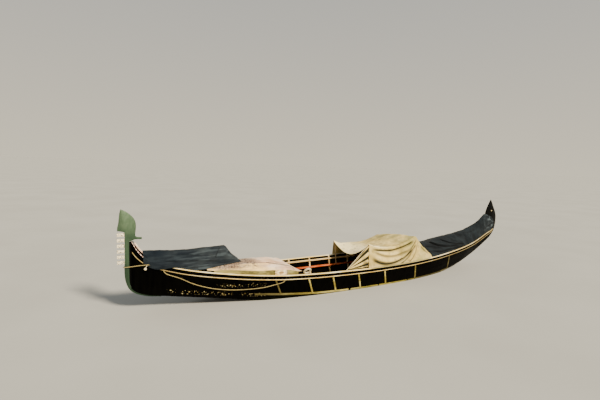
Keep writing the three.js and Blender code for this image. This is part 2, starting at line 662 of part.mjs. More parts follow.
// Its after end is wrapped round the stern post, out to a hem that crosses the post's leaf
const WRAP_Y = POST_HALF + 3;
const WRAP = [
  { k: 0, x: 501, z: 1458, y: 0 },
  { k: 1 / 6, x: 497, z: 1450, y: WRAP_Y },
  { k: 2 / 6, x: 380, z: 1425, y: WRAP_Y },
  { k: 3 / 6, x: 230, z: 1370, y: WRAP_Y },
  { k: 4 / 6, x: 100, z: 1270, y: WRAP_Y },
  { k: 5 / 6, x: 60, z: 1120, y: WRAP_Y },
  { k: 1, x: 125, z: 0, y: 0 },
];
const aftTent = tent(AFT_TENT);
function wrapLine(t) {
  return aftTent(560).map(([x, y, z], j) => {
    const w = WRAP[Math.abs(j - 6)];
    const s = j < 6 ? 1 : -1;
    const wx = x + (w.x - x) * t;
    if (w.k === 1) return [wx, s * (side(wx, sheer(wx), s) - 4), sheer(wx) + GAP];
    return [wx, y + (s * w.y - y) * t, z + (w.z - z) * t];
  });
}
const wrap = range(1, 0.25, 3).map(wrapLine);
add('cover_stern', cloth([...wrap, ...along(560, 3860).map(aftTent)], COVER), SLATE, 0.85);

// Ropes
const peak = side(5730, sheer(5730), 1) - 48;
const tieFoot = side(6330, sheer(6330), 1) - 16;
add('tie_front_port', rope([
  [5744, peak, 1047], [6040, peak + 10, 781], [6330, tieFoot, sheer(6330) + 4.9],
], 6, 14), ROPE, 0.8);
// The loose corner of the seat cover, drawn out along the tie
add('cover_flap', cloth(range(0.06, 0.97, 6).map((t) => range(0, 1, 3).map((k) => {
  const x0 = 5730.5 + 10 * t;
  const x1 = 5734 + 575 * t;
  const z = 1036 - (1036 - sheer(6300) - 14) * t - 8 * k;
  const belly = 12 * t * Math.sin(Math.PI * k);
  return [x0 + (x1 - x0) * k, peak + (tieFoot - peak) * t * k + 20 * t * (1 - k) + belly, z];
})), COVER), BEIGE, 0.9);
const loopR = 9;
const around = side(10300, 850, 1) + RAIL_OUT + loopR + 5;
add('stem_rope', rope([
  [10285, around + 14, 868], [10300, around + 2, 872], [10350, around - 9, 868], [10430, 68, 861],
  [10560, 48, 850], [10672, 28, 842], [10704.4, 0, 840],
  [10672, -28, 842], [10560, -48, 850], [10430, -68, 861], [10350, 9 - around, 868], [10300, -around, 872],
], loopR, 48), ROPE, 0.8);
// The knot hangs by a short tail from the rope's after end
const KNOT = [10350, 110, 798];
const ball = new THREE.SphereGeometry(24, 14, 10);
ball.translate(...KNOT);
const tail = bar(KNOT, [10319.4, around + 6.1, 861.6], 6, 8);
add('stem_rope_knot', union([ball, tail]), PALE, 0.8);
// The swag rope comes out under the rub rail at both ends and hangs clear of the side between them
const SWAG = [
  { x: 10040, z: 0 }, { x: 10000, z: 690 }, { x: 9760, z: 590 }, { x: 9520, z: 470 }, { x: 9180, z: 362 },
  { x: 8780, z: 308 }, { x: 8240, z: 312 }, { x: 8010, z: 350 }, { x: 7800, z: 400 }, { x: 7770, z: 0 },
];
const railSlope = (x) => Math.abs(sheer(x + 8) - sheer(x - 8));
const railUnder = (x) => sheer(x) - RAIL_DROP - RAIL_H / 2 - 4.9 - 0.5 * railSlope(x);
const railMid = (x) => side(x, railUnder(x), 1) + 11;
function hang(x) {
  const t = (10040 - x) / (10040 - 7770);
  return railMid(10040) + (railMid(7770) - railMid(10040)) * t + 26 * Math.sin(Math.PI * t);
}
add('swag_rope', rope(SWAG.map((p) => [p.x, hang(p.x), p.z || railUnder(p.x)]), 8, 64), ROPE, 0.8);
const coil = new THREE.TorusGeometry(62, 20, 10, 24);
coil.scale(1.15, 1, 1);
coil.rotateX(0.95);
coil.translate(7290, side(7290, sheer(7290), 1) - 12, sheer(7290) + 66.6);
add('rope_coil', coil, PALE, 0.8);

// Loose board standing on the port gunwale, leaning against the washboard
add('loose_board', loft([7725, 7980].map((x) => {
  const b = side(x, sheer(x), 1);
  const z = sheer(x) + GAP;
  return [[x, b - 22, z], [x, b - 13, z], [x, b - 22, z + 103], [x, b - 31, z + 103]];
})), PALE, 0.6);

// Place the whole boat with its origin under the middle of its length and breadth
const whole = new THREE.Box3();
for (const m of made) {
  const own = new THREE.Box3().setFromBufferAttribute(m.geometry.attributes.position);
  if (m.name !== 'swag_rope') whole.union(own);
}
const centre = whole.getCenter(new THREE.Vector3());
for (const m of made) m.geometry.translate(-centre.x, -centre.y, -whole.min.z);

export default group;
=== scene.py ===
import math
import bpy
import numpy as np
from mathutils import Matrix, Vector


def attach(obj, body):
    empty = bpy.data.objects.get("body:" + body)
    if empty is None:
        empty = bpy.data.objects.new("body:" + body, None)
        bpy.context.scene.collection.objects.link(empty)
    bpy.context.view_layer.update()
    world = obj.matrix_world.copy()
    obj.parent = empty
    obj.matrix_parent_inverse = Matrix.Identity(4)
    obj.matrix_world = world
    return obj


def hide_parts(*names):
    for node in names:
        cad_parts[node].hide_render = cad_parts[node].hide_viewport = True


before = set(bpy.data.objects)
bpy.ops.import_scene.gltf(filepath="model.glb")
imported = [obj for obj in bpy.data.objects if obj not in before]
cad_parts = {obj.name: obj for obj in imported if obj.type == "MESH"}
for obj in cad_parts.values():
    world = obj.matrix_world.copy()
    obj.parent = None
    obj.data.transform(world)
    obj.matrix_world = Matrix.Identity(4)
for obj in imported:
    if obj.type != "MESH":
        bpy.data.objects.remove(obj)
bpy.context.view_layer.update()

print("stage: frame loaded,", len(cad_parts), "parts")

# The tables are in metres: x from the stern to the bow, y to port, z above the water
toFrame = np.array([-5.382, -0.103444, 0.12])  # moves the tables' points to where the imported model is


def linearColour(hexText):
    parts = [int(hexText[i:i + 2], 16) / 255 for i in (1, 3, 5)]
    return [p / 12.92 if p <= 0.04045 else ((p + 0.055) / 1.055) ** 2.4 for p in parts] + [1.0]


def perMetre(millimetres):
    return 1000 / millimetres  # noise scale for blotches about this wide


def bandScale(millimetres):
    return 314.16 / millimetres  # wave scale for bands this far apart


# Camera: where the photograph was taken from
cameraSet = {"place": (11.363094, 7.413303, 2.792219), "yaw": -2.092453, "pitch": -0.092813, "roll": 0.034919,
             "focal": 385.482, "photoWidth": 600, "sensor": 36, "clip": (0.05, 1200)}


def intoScene(name, data):
    thing = bpy.data.objects.new(name, data)
    bpy.context.scene.collection.objects.link(thing)
    return thing


def makeCamera(c):
    data = bpy.data.cameras.new("photoCamera")
    data.sensor_width, data.sensor_fit = c["sensor"], "HORIZONTAL"
    data.lens = c["sensor"] * c["focal"] / c["photoWidth"]
    data.clip_start, data.clip_end = c["clip"]
    look = Vector((math.cos(c["pitch"]) * math.cos(c["yaw"]), math.cos(c["pitch"]) * math.sin(c["yaw"]),
                   math.sin(c["pitch"])))
    level = Vector((math.sin(c["yaw"]), -math.cos(c["yaw"]), 0))
    upright = level.cross(look)
    right = math.cos(c["roll"]) * level + math.sin(c["roll"]) * upright
    up = -math.sin(c["roll"]) * level + math.cos(c["roll"]) * upright
    cam = intoScene("photoCamera", data)
    turn = Matrix((right, up, -look)).transposed().to_4x4()
    cam.matrix_world = Matrix.Translation(Vector(np.array(c["place"]) + toFrame)) @ turn
    bpy.context.scene.camera = cam


makeCamera(cameraSet)
print("stage: camera")

# Hull lines, one row a station: x, sheer, bottom, half breadths at the sheer and at the chine (port, starboard)
hullLines = [(0.09, 0.985, 0.88, 0.026, 0.026, 0.024, 0.024), (0.2, 0.945, 0.762, 0.042, 0.038, 0.024, 0.024),
    (0.45, 0.885, 0.605, 0.082, 0.068, 0.027, 0.026), (0.8, 0.802, 0.452, 0.158, 0.124, 0.066, 0.056),
    (1.3, 0.718, 0.292, 0.3, 0.23, 0.152, 0.12), (2.0, 0.65, 0.14, 0.48, 0.362, 0.3, 0.228),
    (2.8, 0.592, 0.022, 0.632, 0.476, 0.43, 0.325), (3.7, 0.548, -0.08, 0.762, 0.574, 0.542, 0.409),
    (4.5, 0.524, -0.12, 0.824, 0.622, 0.602, 0.454), (5.45, 0.511, -0.12, 0.843, 0.636, 0.624, 0.471),
    (6.7, 0.52, -0.12, 0.8, 0.604, 0.588, 0.444), (7.6, 0.54, -0.072, 0.715, 0.54, 0.508, 0.384),
    (8.4, 0.594, 0.036, 0.585, 0.442, 0.398, 0.301), (9.1, 0.674, 0.13, 0.43, 0.326, 0.27, 0.205),
    (9.6, 0.752, 0.19, 0.3, 0.229, 0.164, 0.126), (10.0, 0.845, 0.238, 0.172, 0.134, 0.08, 0.064),
    (10.25, 0.93, 0.27, 0.094, 0.078, 0.036, 0.032), (10.4, 1.045, 0.318, 0.056, 0.052, 0.025, 0.025),
    (10.5, 1.178, 0.372, 0.038, 0.038, 0.024, 0.024), (10.57, 1.316, 0.44, 0.03, 0.03, 0.024, 0.024)]
hullSet = {"plank": 0.02, "plankEnd": 0.009, "gunwaleHeight": 0.022, "gunwaleIn": 0.034, "gunwaleOut": 0.012,
           "railDrop": 0.098, "railHeight": 0.026, "railOut": 0.018, "bandHeight": 0.046, "bandOut": 0.012,
           "battenWidth": 0.036, "postHalf": 0.014, "seamDepth": 0.0016, "seamWidth": 0.006}
sides = (("port", 1), ("starboard", -1))
lengths = ("aft", "waist_aft", "waist_fore", "fore")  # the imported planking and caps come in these
restGap, clothThick, hemIn = 0.0004, 0.0028, 0.004  # gap between touching pieces, cloth, hem inside the hull's line


def smoothCurve(points):
    xs, ys = (np.array(column, float) for column in zip(*points))
    step = np.diff(ys) / np.diff(xs)
    same = step[:-1] * step[1:] > 0
    total = np.where(same, step[:-1] + step[1:], 1.0)
    middle = np.where(same, 2 * step[:-1] * step[1:] / total, 0.0)
    slope = np.concatenate([[step[0]], middle, [step[-1]]])

    def value(x):
        c = np.clip(x, xs[0], xs[-1])
        i = np.clip(np.searchsorted(xs, c, side="right") - 1, 0, len(xs) - 2)
        h = xs[i + 1] - xs[i]
        t = (c - xs[i]) / h
        return ((1 + 2 * t) * (1 - t) ** 2 * ys[i] + t * (1 - t) ** 2 * h * slope[i]
                + t * t * (3 - 2 * t) * ys[i + 1] + t * t * (t - 1) * h * slope[i + 1])
    return value


def curvesOf(rows):
    return [smoothCurve([(row[0], row[c]) for row in rows]) for c in range(1, len(rows[0]))]


def spreadStations(count):
    t = np.linspace(0, 1, count)
    return 0.09 + 10.48 * (t - 0.8 * np.sin(2 * np.pi * t) / (2 * np.pi))  # closer together at the ends


fineStations = spreadStations(241)


def fairLine(curve):
    line = curve(fineStations)
    for _ in range(6):  # like a bent batten: takes the small kinks out of a line
        line[1:-1] = line[1:-1] * 0.5 + (line[:-2] + line[2:]) * 0.25
    return lambda x: np.interp(x, fineStations, line)


sheer, bottom, portBreadth, starBreadth, portChine, starChine = (fairLine(curve) for curve in curvesOf(hullLines))
breadth = {1: portBreadth, -1: starBreadth}
chine = {1: portChine, -1: starChine}
plank = smoothCurve([(0.09, hullSet["plankEnd"]), (0.62, hullSet["plankEnd"]), (1.5, hullSet["plank"]),
                     (9.0, hullSet["plank"]), (10.3, hullSet["plankEnd"]), (10.57, hullSet["plankEnd"])])


def hullSide(x, z, s):
    t = np.clip((z - bottom(x)) / (sheer(x) - bottom(x)), 0, 1)
    flare = breadth[s](x) - chine[s](x)
    return chine[s](x) + flare * t + 0.04 * t * (1 - t) * np.minimum(1, breadth[s](x) / 0.3)


def rim(x, s):
    return float(hullSide(x, sheer(x), s))  # half breadth at the gunwale


def hullInside(x, z, s):
    return hullSide(x, z, s) - plank(x) * 1.06


def between(a, b):
    middle = fineStations[(fineStations > a + 0.004) & (fineStations < b - 0.004)]
    return np.concatenate([[a], middle, [b]])


# Making meshes
def makePiece(name, verts, faces, material, slot, stands=(), sharp=None, uv=None, paintedShade=None):
    mesh = bpy.data.meshes.new(name)
    points = np.asarray(verts, float).reshape(-1, 3) + toFrame
    mesh.from_pydata(points.tolist(), [], [tuple(int(i) for i in f) for f in faces])
    mesh.validate()
    if uv is not None:
        layer = mesh.uv_layers.new(name="cloth")
        loops = np.zeros(len(mesh.loops), int)
        mesh.loops.foreach_get("vertex_index", loops)
        layer.data.foreach_set("uv", np.asarray(uv, float)[loops].astype(np.float32).ravel())
    if paintedShade is not None:
        # the cloth's painted shade, kept for each point
        layer = mesh.attributes.new(name="paintedFoldShade", type="FLOAT", domain="POINT")
        layer.data.foreach_set("value", np.asarray(paintedShade, np.float32).ravel())
    mesh.shade_smooth()
    if sharp is not None:
        mesh.set_sharp_from_angle(angle=math.radians(sharp))
    mesh.materials.append(material)
    piece = intoScene(name, mesh)
    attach(piece, "root")
    if stands:
        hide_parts(*stands)
    return piece


def facingOut(verts, faces):
    v, total = np.asarray(verts, float), 0.0
    for f in faces:
        for k in range(1, len(f) - 1):
            total += np.dot(v[f[0]], np.cross(v[f[k]], v[f[k + 1]]))
    return [f[::-1] for f in faces] if total < 0 else faces


def loft(rings):
    rings = np.asarray(rings, float)
    count, size = rings.shape[:2]
    faces = []
    for i in range(count - 1):
        for j in range(size):
            a, b = i * size + j, i * size + (j + 1) % size
            faces.append((a, b, b + size, a + size))
    faces += [tuple(reversed(range(size))), tuple((count - 1) * size + j for j in range(size))]
    verts = rings.reshape(-1, 3)
    return verts, facingOut(verts, faces)


def joinMeshes(parts):
    verts, faces, base = [], [], 0
    for v, f in parts:
        verts.append(np.asarray(v, float))
        faces += [tuple(i + base for i in face) for face in f]
        base += len(v)
    return np.concatenate(verts), faces


def roundedRing(corners, radius, steps=3):
    ring = []
    for i in range(len(corners)):
        p, *beside = (np.array(corners[k % len(corners)], float) for k in (i, i - 1, i + 1))
        a, b = (p + (q - p) * min(0.45, radius / max(np.linalg.norm(q - p), 1e-9)) for q in beside)
        for t in np.linspace(0, 1, steps):
            ring.append((1 - t) ** 2 * a + 2 * t * (1 - t) * p + t * t * b)
    return np.array(ring)


def acrossRing(x, s, corners, radius, steps=3):
    ring = roundedRing(corners, radius, steps)  # corners: y outboard and z
    return np.stack([np.full(len(ring), x), s * ring[:, 0], ring[:, 1]], 1)


def boxRing(x, s, y0, y1, z0, z1, radius, steps=3):
    return acrossRing(x, s, [(y0, z0), (y1, z0), (y1, z1), (y0, z1)], radius, steps)


def levelRing(z, s, corners):
    ring = roundedRing(corners, 0.005)  # corners: x and y outboard
    return np.stack([ring[:, 0], s * ring[:, 1], np.full(len(ring), z)], 1)


def alongHull(start, end, ringAt):
    return loft([ringAt(x) for x in between(start, end)])


def softOutline(points, corners):
    pts = [(np.array(p, float), i in corners) for i, p in enumerate(points)]
    for _ in range(2):  # cuts every corner that isn't meant to be sharp
        new = []
        for i, (p, sharp) in enumerate(pts):
            if sharp:
                new.append((p, True))
            else:
                new.append((p * 0.75 + pts[i - 1][0] * 0.25, False))
                new.append((p * 0.75 + pts[(i + 1) % len(pts)][0] * 0.25, False))
        pts = new
    return np.array([p for p, _ in pts])


def inset(outline, amount):
    before, after = np.roll(outline, 1, 0), np.roll(outline, -1, 0)
    area = 0.5 * np.sum(outline[:, 0] * after[:, 1] - after[:, 0] * outline[:, 1])
    n = np.zeros_like(outline)
    for e in (outline - before, after - outline):
        n += np.stack([e[:, 1], -e[:, 0]], 1) / np.maximum(np.linalg.norm(e, axis=1), 1e-9)[:, None]
    n = n / np.maximum((n * n).sum(1) / 2, 0.6)[:, None]
    return outline - n * amount * np.sign(area)


def shapedPlate(outline, profile):
    rings = []  # profile: how far in from the outline, and where across the boat, from one face to the other
    for amount, y in profile:
        ring = inset(outline, amount)
        rings.append(np.stack([ring[:, 0], np.full(len(ring), y), ring[:, 1]], 1))
    return loft(rings)


def stepLengths(points, axis=0):
    return np.linalg.norm(np.diff(points, axis=axis), axis=-1)


def evenly(points, count=None, spacing=None):
    points = np.array(points, float)
    s = np.concatenate([[0], np.cumsum(stepLengths(points))])
    count = count or max(3, int(round(s[-1] / spacing)) + 1)
    return np.stack([np.interp(np.linspace(0, s[-1], count), s, points[:, k]) for k in range(3)], 1)


def blend(p, q, start, stop, t):
    return p * ((stop - t) / (stop - start)) + q * ((t - start) / (stop - start))


def smoothPath(points, spacing, closed=False):
    pts = [Vector(p) for p in points]
    if closed:
        pts = [pts[-1]] + pts + [pts[0], pts[1]]
    else:
        pts = [pts[0] * 2 - pts[1]] + pts + [pts[-1] * 2 - pts[-2]]
    out = []
    for k in range(1, len(pts) - 2):
        p0, p1, p2, p3 = pts[k - 1:k + 3]
        t1 = (p1 - p0).length ** 0.5
        t2 = t1 + (p2 - p1).length ** 0.5
        t3 = t2 + (p3 - p2).length ** 0.5
        for t in np.linspace(t1, t2, 24, endpoint=False):
            a = [blend(*q, t) for q in ((p0, p1, 0, t1), (p1, p2, t1, t2), (p2, p3, t2, t3))]
            out.append(blend(blend(a[0], a[1], 0, t2, t), blend(a[1], a[2], t1, t3, t), t1, t2, t))
    out.append(pts[-2])
    return evenly([list(p) for p in out], spacing=spacing)


def sweep(path, profile):
    path = np.asarray(path, float)
    step = np.gradient(path, axis=0)
    tangent = step / np.linalg.norm(step, axis=1)[:, None]
    side = np.cross(tangent[0], [0, 0, 1.0])
    if np.linalg.norm(side) < 1e-3:
        side = np.array([1.0, 0, 0])
    rings = []
    for i, t in enumerate(tangent):  # carries one direction along the path without twist
        side = side - t * np.dot(side, t)
        side = side / np.linalg.norm(side)
        other = np.cross(t, side)
        ring = profile(i)
        rings.append(path[i] + ring[:, :1] * side + ring[:, 1:] * other)
    return np.array(rings)


def fullTurn(count):
    return np.linspace(0, 2 * math.pi, count, endpoint=False)


def roundRing(r, angle):
    return np.stack([r * np.cos(angle), r * np.sin(angle)], 1)


def laidRope(path, radius, lay, sides=15, perTurn=9, closed=False):
    path, angle = smoothPath(path, lay / perTurn, closed), fullTurn(sides)

    def profile(i):
        turn = angle - 2 * math.pi * i / perTurn
        return roundRing(radius * (0.8 + 0.2 * np.abs(np.cos(turn * 3 / 2)) ** 0.8), angle)  # three strands
    return loft(sweep(path, profile))


def lumpyBar(a, b, radius, seed):
    a, b = np.array(a, float), np.array(b, float)
    sway = np.random.default_rng(seed).uniform(-1, 1, (2, 3))
    t, angle = np.linspace(0, 1, 22), fullTurn(14)
    path = a + (b - a) * t[:, None]
    for k, bends in enumerate((3.1, 2.3)):
        path[:, k] += 0.006 * (np.sin(bends * t + sway[k, 0]) - np.sin(sway[k, 0])) * sway[k, 1]

    def profile(i):
        lumps = 1 + 0.05 * np.cos(3 * angle + 2 * t[i]) + 0.03 * np.sin(9 * t[i])
        return roundRing(radius * (1 - 0.15 * t[i]) * lumps, angle)
    return loft(sweep(path, profile))


# Materials
def addNode(mat, kind, settings, out=0):
    node = mat.node_tree.nodes.new("ShaderNode" + kind)
    for key, value in settings.items():
        if isinstance(value, bpy.types.NodeSocket):
            mat.node_tree.links.new(value, node.inputs[key])
        elif isinstance(key, int) or key in node.inputs:
            node.inputs[key].default_value = value
        else:
            setattr(node, key, value)
    return node.outputs[out] if node.outputs else node


def startFinish(name):
    mat = bpy.data.materials.new(name)
    mat.use_nodes = True
    mat.node_tree.nodes.clear()
    return mat, addNode(mat, "TexCoord", {}, "Object")


def endFinish(mat, settings, height=None, deep=0.0007, strength=0.5):
    if height is not None:
        bump = addNode(mat, "Bump", {"Height": height, "Distance": deep, "Strength": strength})
        settings = {"Normal": bump, **settings}
    shader = addNode(mat, "BsdfPrincipled", settings)
    addNode(mat, "OutputMaterial", {"Surface": shader})
    return mat


def blotches(mat, place, millimetres, high=1.0, stretch=(1, 1, 1), detail=4, seed=0.0, edges=(0.38, 0.62), low=0.0):
    spot = addNode(mat, "Mapping", {"Vector": place, "Scale": stretch, "Location": (seed, seed * 1.7, seed * 0.6)})
    cloud = addNode(mat, "TexNoise", {"Vector": spot, "Scale": perMetre(millimetres), "Detail": detail})
    return addNode(mat, "MapRange", {"Value": cloud, "From Min": edges[0], "From Max": edges[1],
                                     "To Min": low, "To Max": high})


def fades(mat, place, axis, start, stop, high=1.0):
    part = addNode(mat, "SeparateXYZ", {0: place}, axis)
    return addNode(mat, "MapRange", {"Value": part, "From Min": start, "From Max": stop, "To Max": high})


def facing(mat, axis, start, stop, high=1.0):
    return fades(mat, addNode(mat, "TexCoord", {}, "Normal"), axis, start, stop, high)


def layered(mat, colour, layers):
    for amount, over in layers:  # each colour covers what is under it by its amount
        under = linearColour(colour) if isinstance(colour, str) else colour
        over = linearColour(over) if isinstance(over, str) else over
        colour = addNode(mat, "Mix", {"data_type": "RGBA", 0: amount, 6: under, 7: over}, 2)
    return colour


def nearLine(mat, place, slope, level, wide, x0, x1, high):
    # how near a point of the hull's side is to a slanting line along it, from x0 to x1
    along, height = (addNode(mat, "SeparateXYZ", {0: place}, axis) for axis in (0, 2))
    drop = addNode(mat, "Math", {"operation": "MULTIPLY_ADD", 0: along, 1: -slope, 2: -level})
    off = addNode(mat, "Math", {"operation": "ADD", 0: height, 1: drop})
    far = addNode(mat, "Math", {"operation": "ABSOLUTE", 0: off})
    ends = fades(mat, place, 0, x0, x0 + 0.3, high)
    ends = fades(mat, place, 0, x1, x1 - 0.3, ends)
    ends = fades(mat, place, 1, 0.0, 0.02, ends)
    return addNode(mat, "MapRange", {"Value": far, "From Min": wide, "From Max": wide * 0.3, "To Max": ends})


def notchedByStem(mat, obj):
    # the cap's fore end is carved like a rope and painted pinkish white, its notches dark with painted shade; beside
    # the seat cover lies an olive painted shadow of the cover
    fore = fades(mat, obj, 0, 4.66, 4.72)
    twist = addNode(mat, "TexWave", {"Vector": obj, "Scale": bandScale(42), "bands_direction": "DIAGONAL"}, 1)
    notch = addNode(mat, "MapRange", {"Value": twist, "From Min": 0.45, "From Max": 0.25, "To Max": fore})
    paintedCoverShadow = fades(mat, obj, 0, -1.75, -1.6, fades(mat, obj, 0, 0.35, 0.2, 0.7))
    astern = fades(mat, obj, 0, -1.75, -4.6, 0.6)
    return [(paintedCoverShadow, "#5e6034"), (astern, "#7d6a4a"), (fore, "#f6dcd0"), (notch, "#6e4a40")]


def lappedByHullPaint(mat, obj):
    # the hull's black laps onto the rail's upper and under sides, and only its nose is rubbed bright
    over, under = facing(mat, 2, 0.62, 0.74), facing(mat, 2, -0.5, -0.66)
    return [(fades(mat, obj, 0, 0.2, -2.6, 0.75), "#4c4324"), (fades(mat, obj, 0, 3.5, 4.5, 0.6), "#5d5132"),
            (over, "#12100a"), (under, "#0c0b07")]


def ovalKnot(mat, obj):
    # one brown knot in the middle of the board
    spot = addNode(mat, "Mapping", {"Vector": obj, "Scale": (1 / 0.055, 0, 1 / 0.02),
                                    "Location": (-2.475 / 0.055, 0, -0.722 / 0.02)})
    far = addNode(mat, "VectorMath", {"operation": "LENGTH", 0: spot}, 1)
    core = addNode(mat, "MapRange", {"Value": far, "From Min": 1.2, "From Max": 0.8, "To Max": 0.85})
    return [(core, "#8a6a34"), (fades(mat, obj, 0, 2.37, 2.35, 0.8), "#4a3a20"),
            (facing(mat, 2, 0.6, 0.9, 0.8), "#6a5834")]


def greenLowDown(mat, obj):
    # wet and green near the water, nearly black at both ends
    damp = fades(mat, obj, 2, 0.24, 0.12, blotches(mat, obj, 90, 0.75, (0.4, 1, 1), low=0.1))
    return [(damp, "#465220"), (fades(mat, obj, 0, -0.9, -1.5, 0.8), "#1f1c10"),
            (fades(mat, obj, 0, 1.7, 2.5, 0.8), "#2a2614")]


def darkJoints(mat, obj):
    rows = addNode(mat, "TexWave", {"Vector": obj, "Scale": bandScale(110), "bands_direction": "Y"}, 1)
    gap = addNode(mat, "MapRange", {"Value": rows, "From Min": 0.03, "From Max": 0.0, "To Max": 0.85})
    return [(gap, "#1e150c")]


def paintedHull(name, shine):
    # black boat enamel brushed over larch: ink black, soft waves, brown bloom, pale chips low down by the bow
    mat, obj = startFinish(name)
    chips = blotches(mat, obj, 24, stretch=(0.8, 1, 1), detail=3, seed=1.0, edges=(0.62, 0.66))  # coarser than real
    lowRow = nearLine(mat, obj, 0.1085, -0.048, 0.05, 2.45, 4.75, chips)
    highRow = nearLine(mat, obj, 0.02, 0.437, 0.05, 2.7, 3.75, chips)
    chipped = addNode(mat, "Math", {"operation": "MAXIMUM", 0: lowRow, 1: highRow})
    weed = fades(mat, obj, 2, 0.2, 0.125, blotches(mat, obj, 120, 0.9, (0.3, 1, 1), 5, 5.0, low=0.2))
    colour = layered(mat, "#020202", [
        (blotches(mat, obj, 700, 0.6, (0.35, 1, 1)), "#060504"),
        (blotches(mat, obj, 70, 0.1, (1, 1, 0.08), 6, 3.0), "#181811"),
        (weed, "#12160a"),
        (chipped, layered(mat, "#fff0b4", [(blotches(mat, obj, 50, 0.9, detail=2, seed=8.0), "#a5863a")]))])
    rough = addNode(mat, "Math", {"operation": "MAXIMUM", 0: chipped,
                                  1: blotches(mat, obj, 260, 0.44, (0.3, 1, 1), 5, 9.0, low=0.3)})
    return endFinish(mat, {"Base Color": colour, "Roughness": rough, "IOR": 1.5, "Specular IOR Level": shine},
                     blotches(mat, obj, 140, stretch=(0.12, 1, 1), detail=2, seed=1.0), 0.0012, 0.6)


def timber(name, light, dark, worn, rough, wide, wear, extra=None, coat=0.0, along=0.04):
    # wide: how wide the grain's streaks are, in mm
    mat, obj = startFinish(name)
    grain = blotches(mat, obj, wide, stretch=(along, 1, 1), detail=8)
    layers = [(grain, dark), (blotches(mat, obj, wide * 0.3, 0.25, (along * 0.6, 1, 1), 3, 2.0), dark),
              (blotches(mat, obj, 170, wear, (0.3, 1, 1), 7, 3.0, (0.5, 0.62)), worn)]
    colour = layered(mat, light, layers + (extra(mat, obj) if extra else []))
    return endFinish(mat, {"Base Color": colour, "IOR": 1.5, "Specular IOR Level": 0.3, "Coat Weight": coat,
                           "Roughness": blotches(mat, obj, 90, rough + 0.14, (0.2, 1, 1), seed=4.0, low=rough - 0.1),
                           "Coat Roughness": 0.2}, grain)


def canvas(name, base, shade, dust, dustAmount, stain, stainAmount, paintedShadeColour, extra):
    mat, obj = startFinish(name)
    flat = addNode(mat, "TexCoord", {}, "UV")
    # painted shade: the per-point shade from the cloth's folds and ripple hollows darkens it towards the shade colour
    # given
    paintedShade = addNode(mat, "Attribute", {"attribute_name": "paintedFoldShade"}, "Fac")
    patches = blotches(mat, obj, 900, stainAmount, detail=2, seed=8.0)
    layers = [(blotches(mat, obj, 420, detail=5), shade),
              (blotches(mat, obj, 230, dustAmount, (0.7, 1, 1), 7, 6.0), dust),
              (blotches(mat, obj, 160, patches, (0.8, 1, 1.6), 8, 11.0), stain)]
    threads = [addNode(mat, "TexWave", {"Vector": flat, "Scale": bandScale(6), "Distortion": 1.2, "Detail Scale": 2.0,
                                        "bands_direction": direction}, 1)
               for direction in ("X", "Y")]  # the real weave is under 1 mm, drawn at 6 mm so that it shows
    weave = addNode(mat, "Math", {"operation": "MAXIMUM", 0: threads[0], 1: threads[1]})
    thin = addNode(mat, "MapRange", {"Value": weave, "To Min": 0.16, "To Max": 0.0})
    colour = layered(mat, base, layers + extra(mat, obj) + [(paintedShade, paintedShadeColour), (thin, stain)])
    soft = addNode(mat, "Bump", {"Height": blotches(mat, obj, 110, detail=5, seed=2.0), "Distance": 0.006,
                                 "Strength": 0.5})
    fine = addNode(mat, "Bump", {"Height": weave, "Distance": 0.0006, "Strength": 0.5, "Normal": soft})
    return endFinish(mat, {"Base Color": colour, "Normal": fine, "IOR": 1.46, "Roughness": 0.9,
                           "Specular IOR Level": 0.1, "Sheen Weight": 0.03, "Sheen Roughness": 0.6})


def paintedLightAheadShadeAft(mat, obj):
    # painted highlight on faces turned upwards at the fore end, painted grey-green shade in blotches towards the aft
    # end
    ahead = fades(mat, obj, 0, -0.35, 0.0, facing(mat, 2, 0.6, 0.8))
    shady = fades(mat, obj, 0, -0.5, -1.0, blotches(mat, obj, 260, 0.6, seed=9.0))
    return [(ahead, "#fff0bc"), (shady, "#8f9056")]


def duskyByStem(mat, obj):
    streaks = blotches(mat, obj, 60, 0.5, (0.12, 1, 1), 3, 4.0, (0.5, 0.6))
    return [(streaks, "#465157"), (blotches(mat, obj, 75, 0.6, (0.1, 1, 1), 3, 9.0, (0.52, 0.6)), "#10171d"),
            (fades(mat, obj, 0, 3.9, 4.7, 0.75), "#0d1620")]


def paleAtStern(mat, obj):
    # paler blotches where the cloth wraps round the stern post
    palerPatches = blotches(mat, obj, 40, 0.5, (0.25, 1, 0.5), seed=4.0, edges=(0.52, 0.62))
    return [(fades(mat, obj, 0, -4.75, -5.0, palerPatches), "#66747c")]


def darkByBowPaintedLightPort(mat, obj):
    # darker and speckled towards the bow; a cream painted highlight on faces turned to port
    speckle = blotches(mat, obj, 22, detail=6, seed=4.0, low=0.45)
    return [(fades(mat, obj, 0, 2.7, 2.96, speckle), "#34302d"), (facing(mat, 1, 0.45, 0.75), "#ffdc96")]


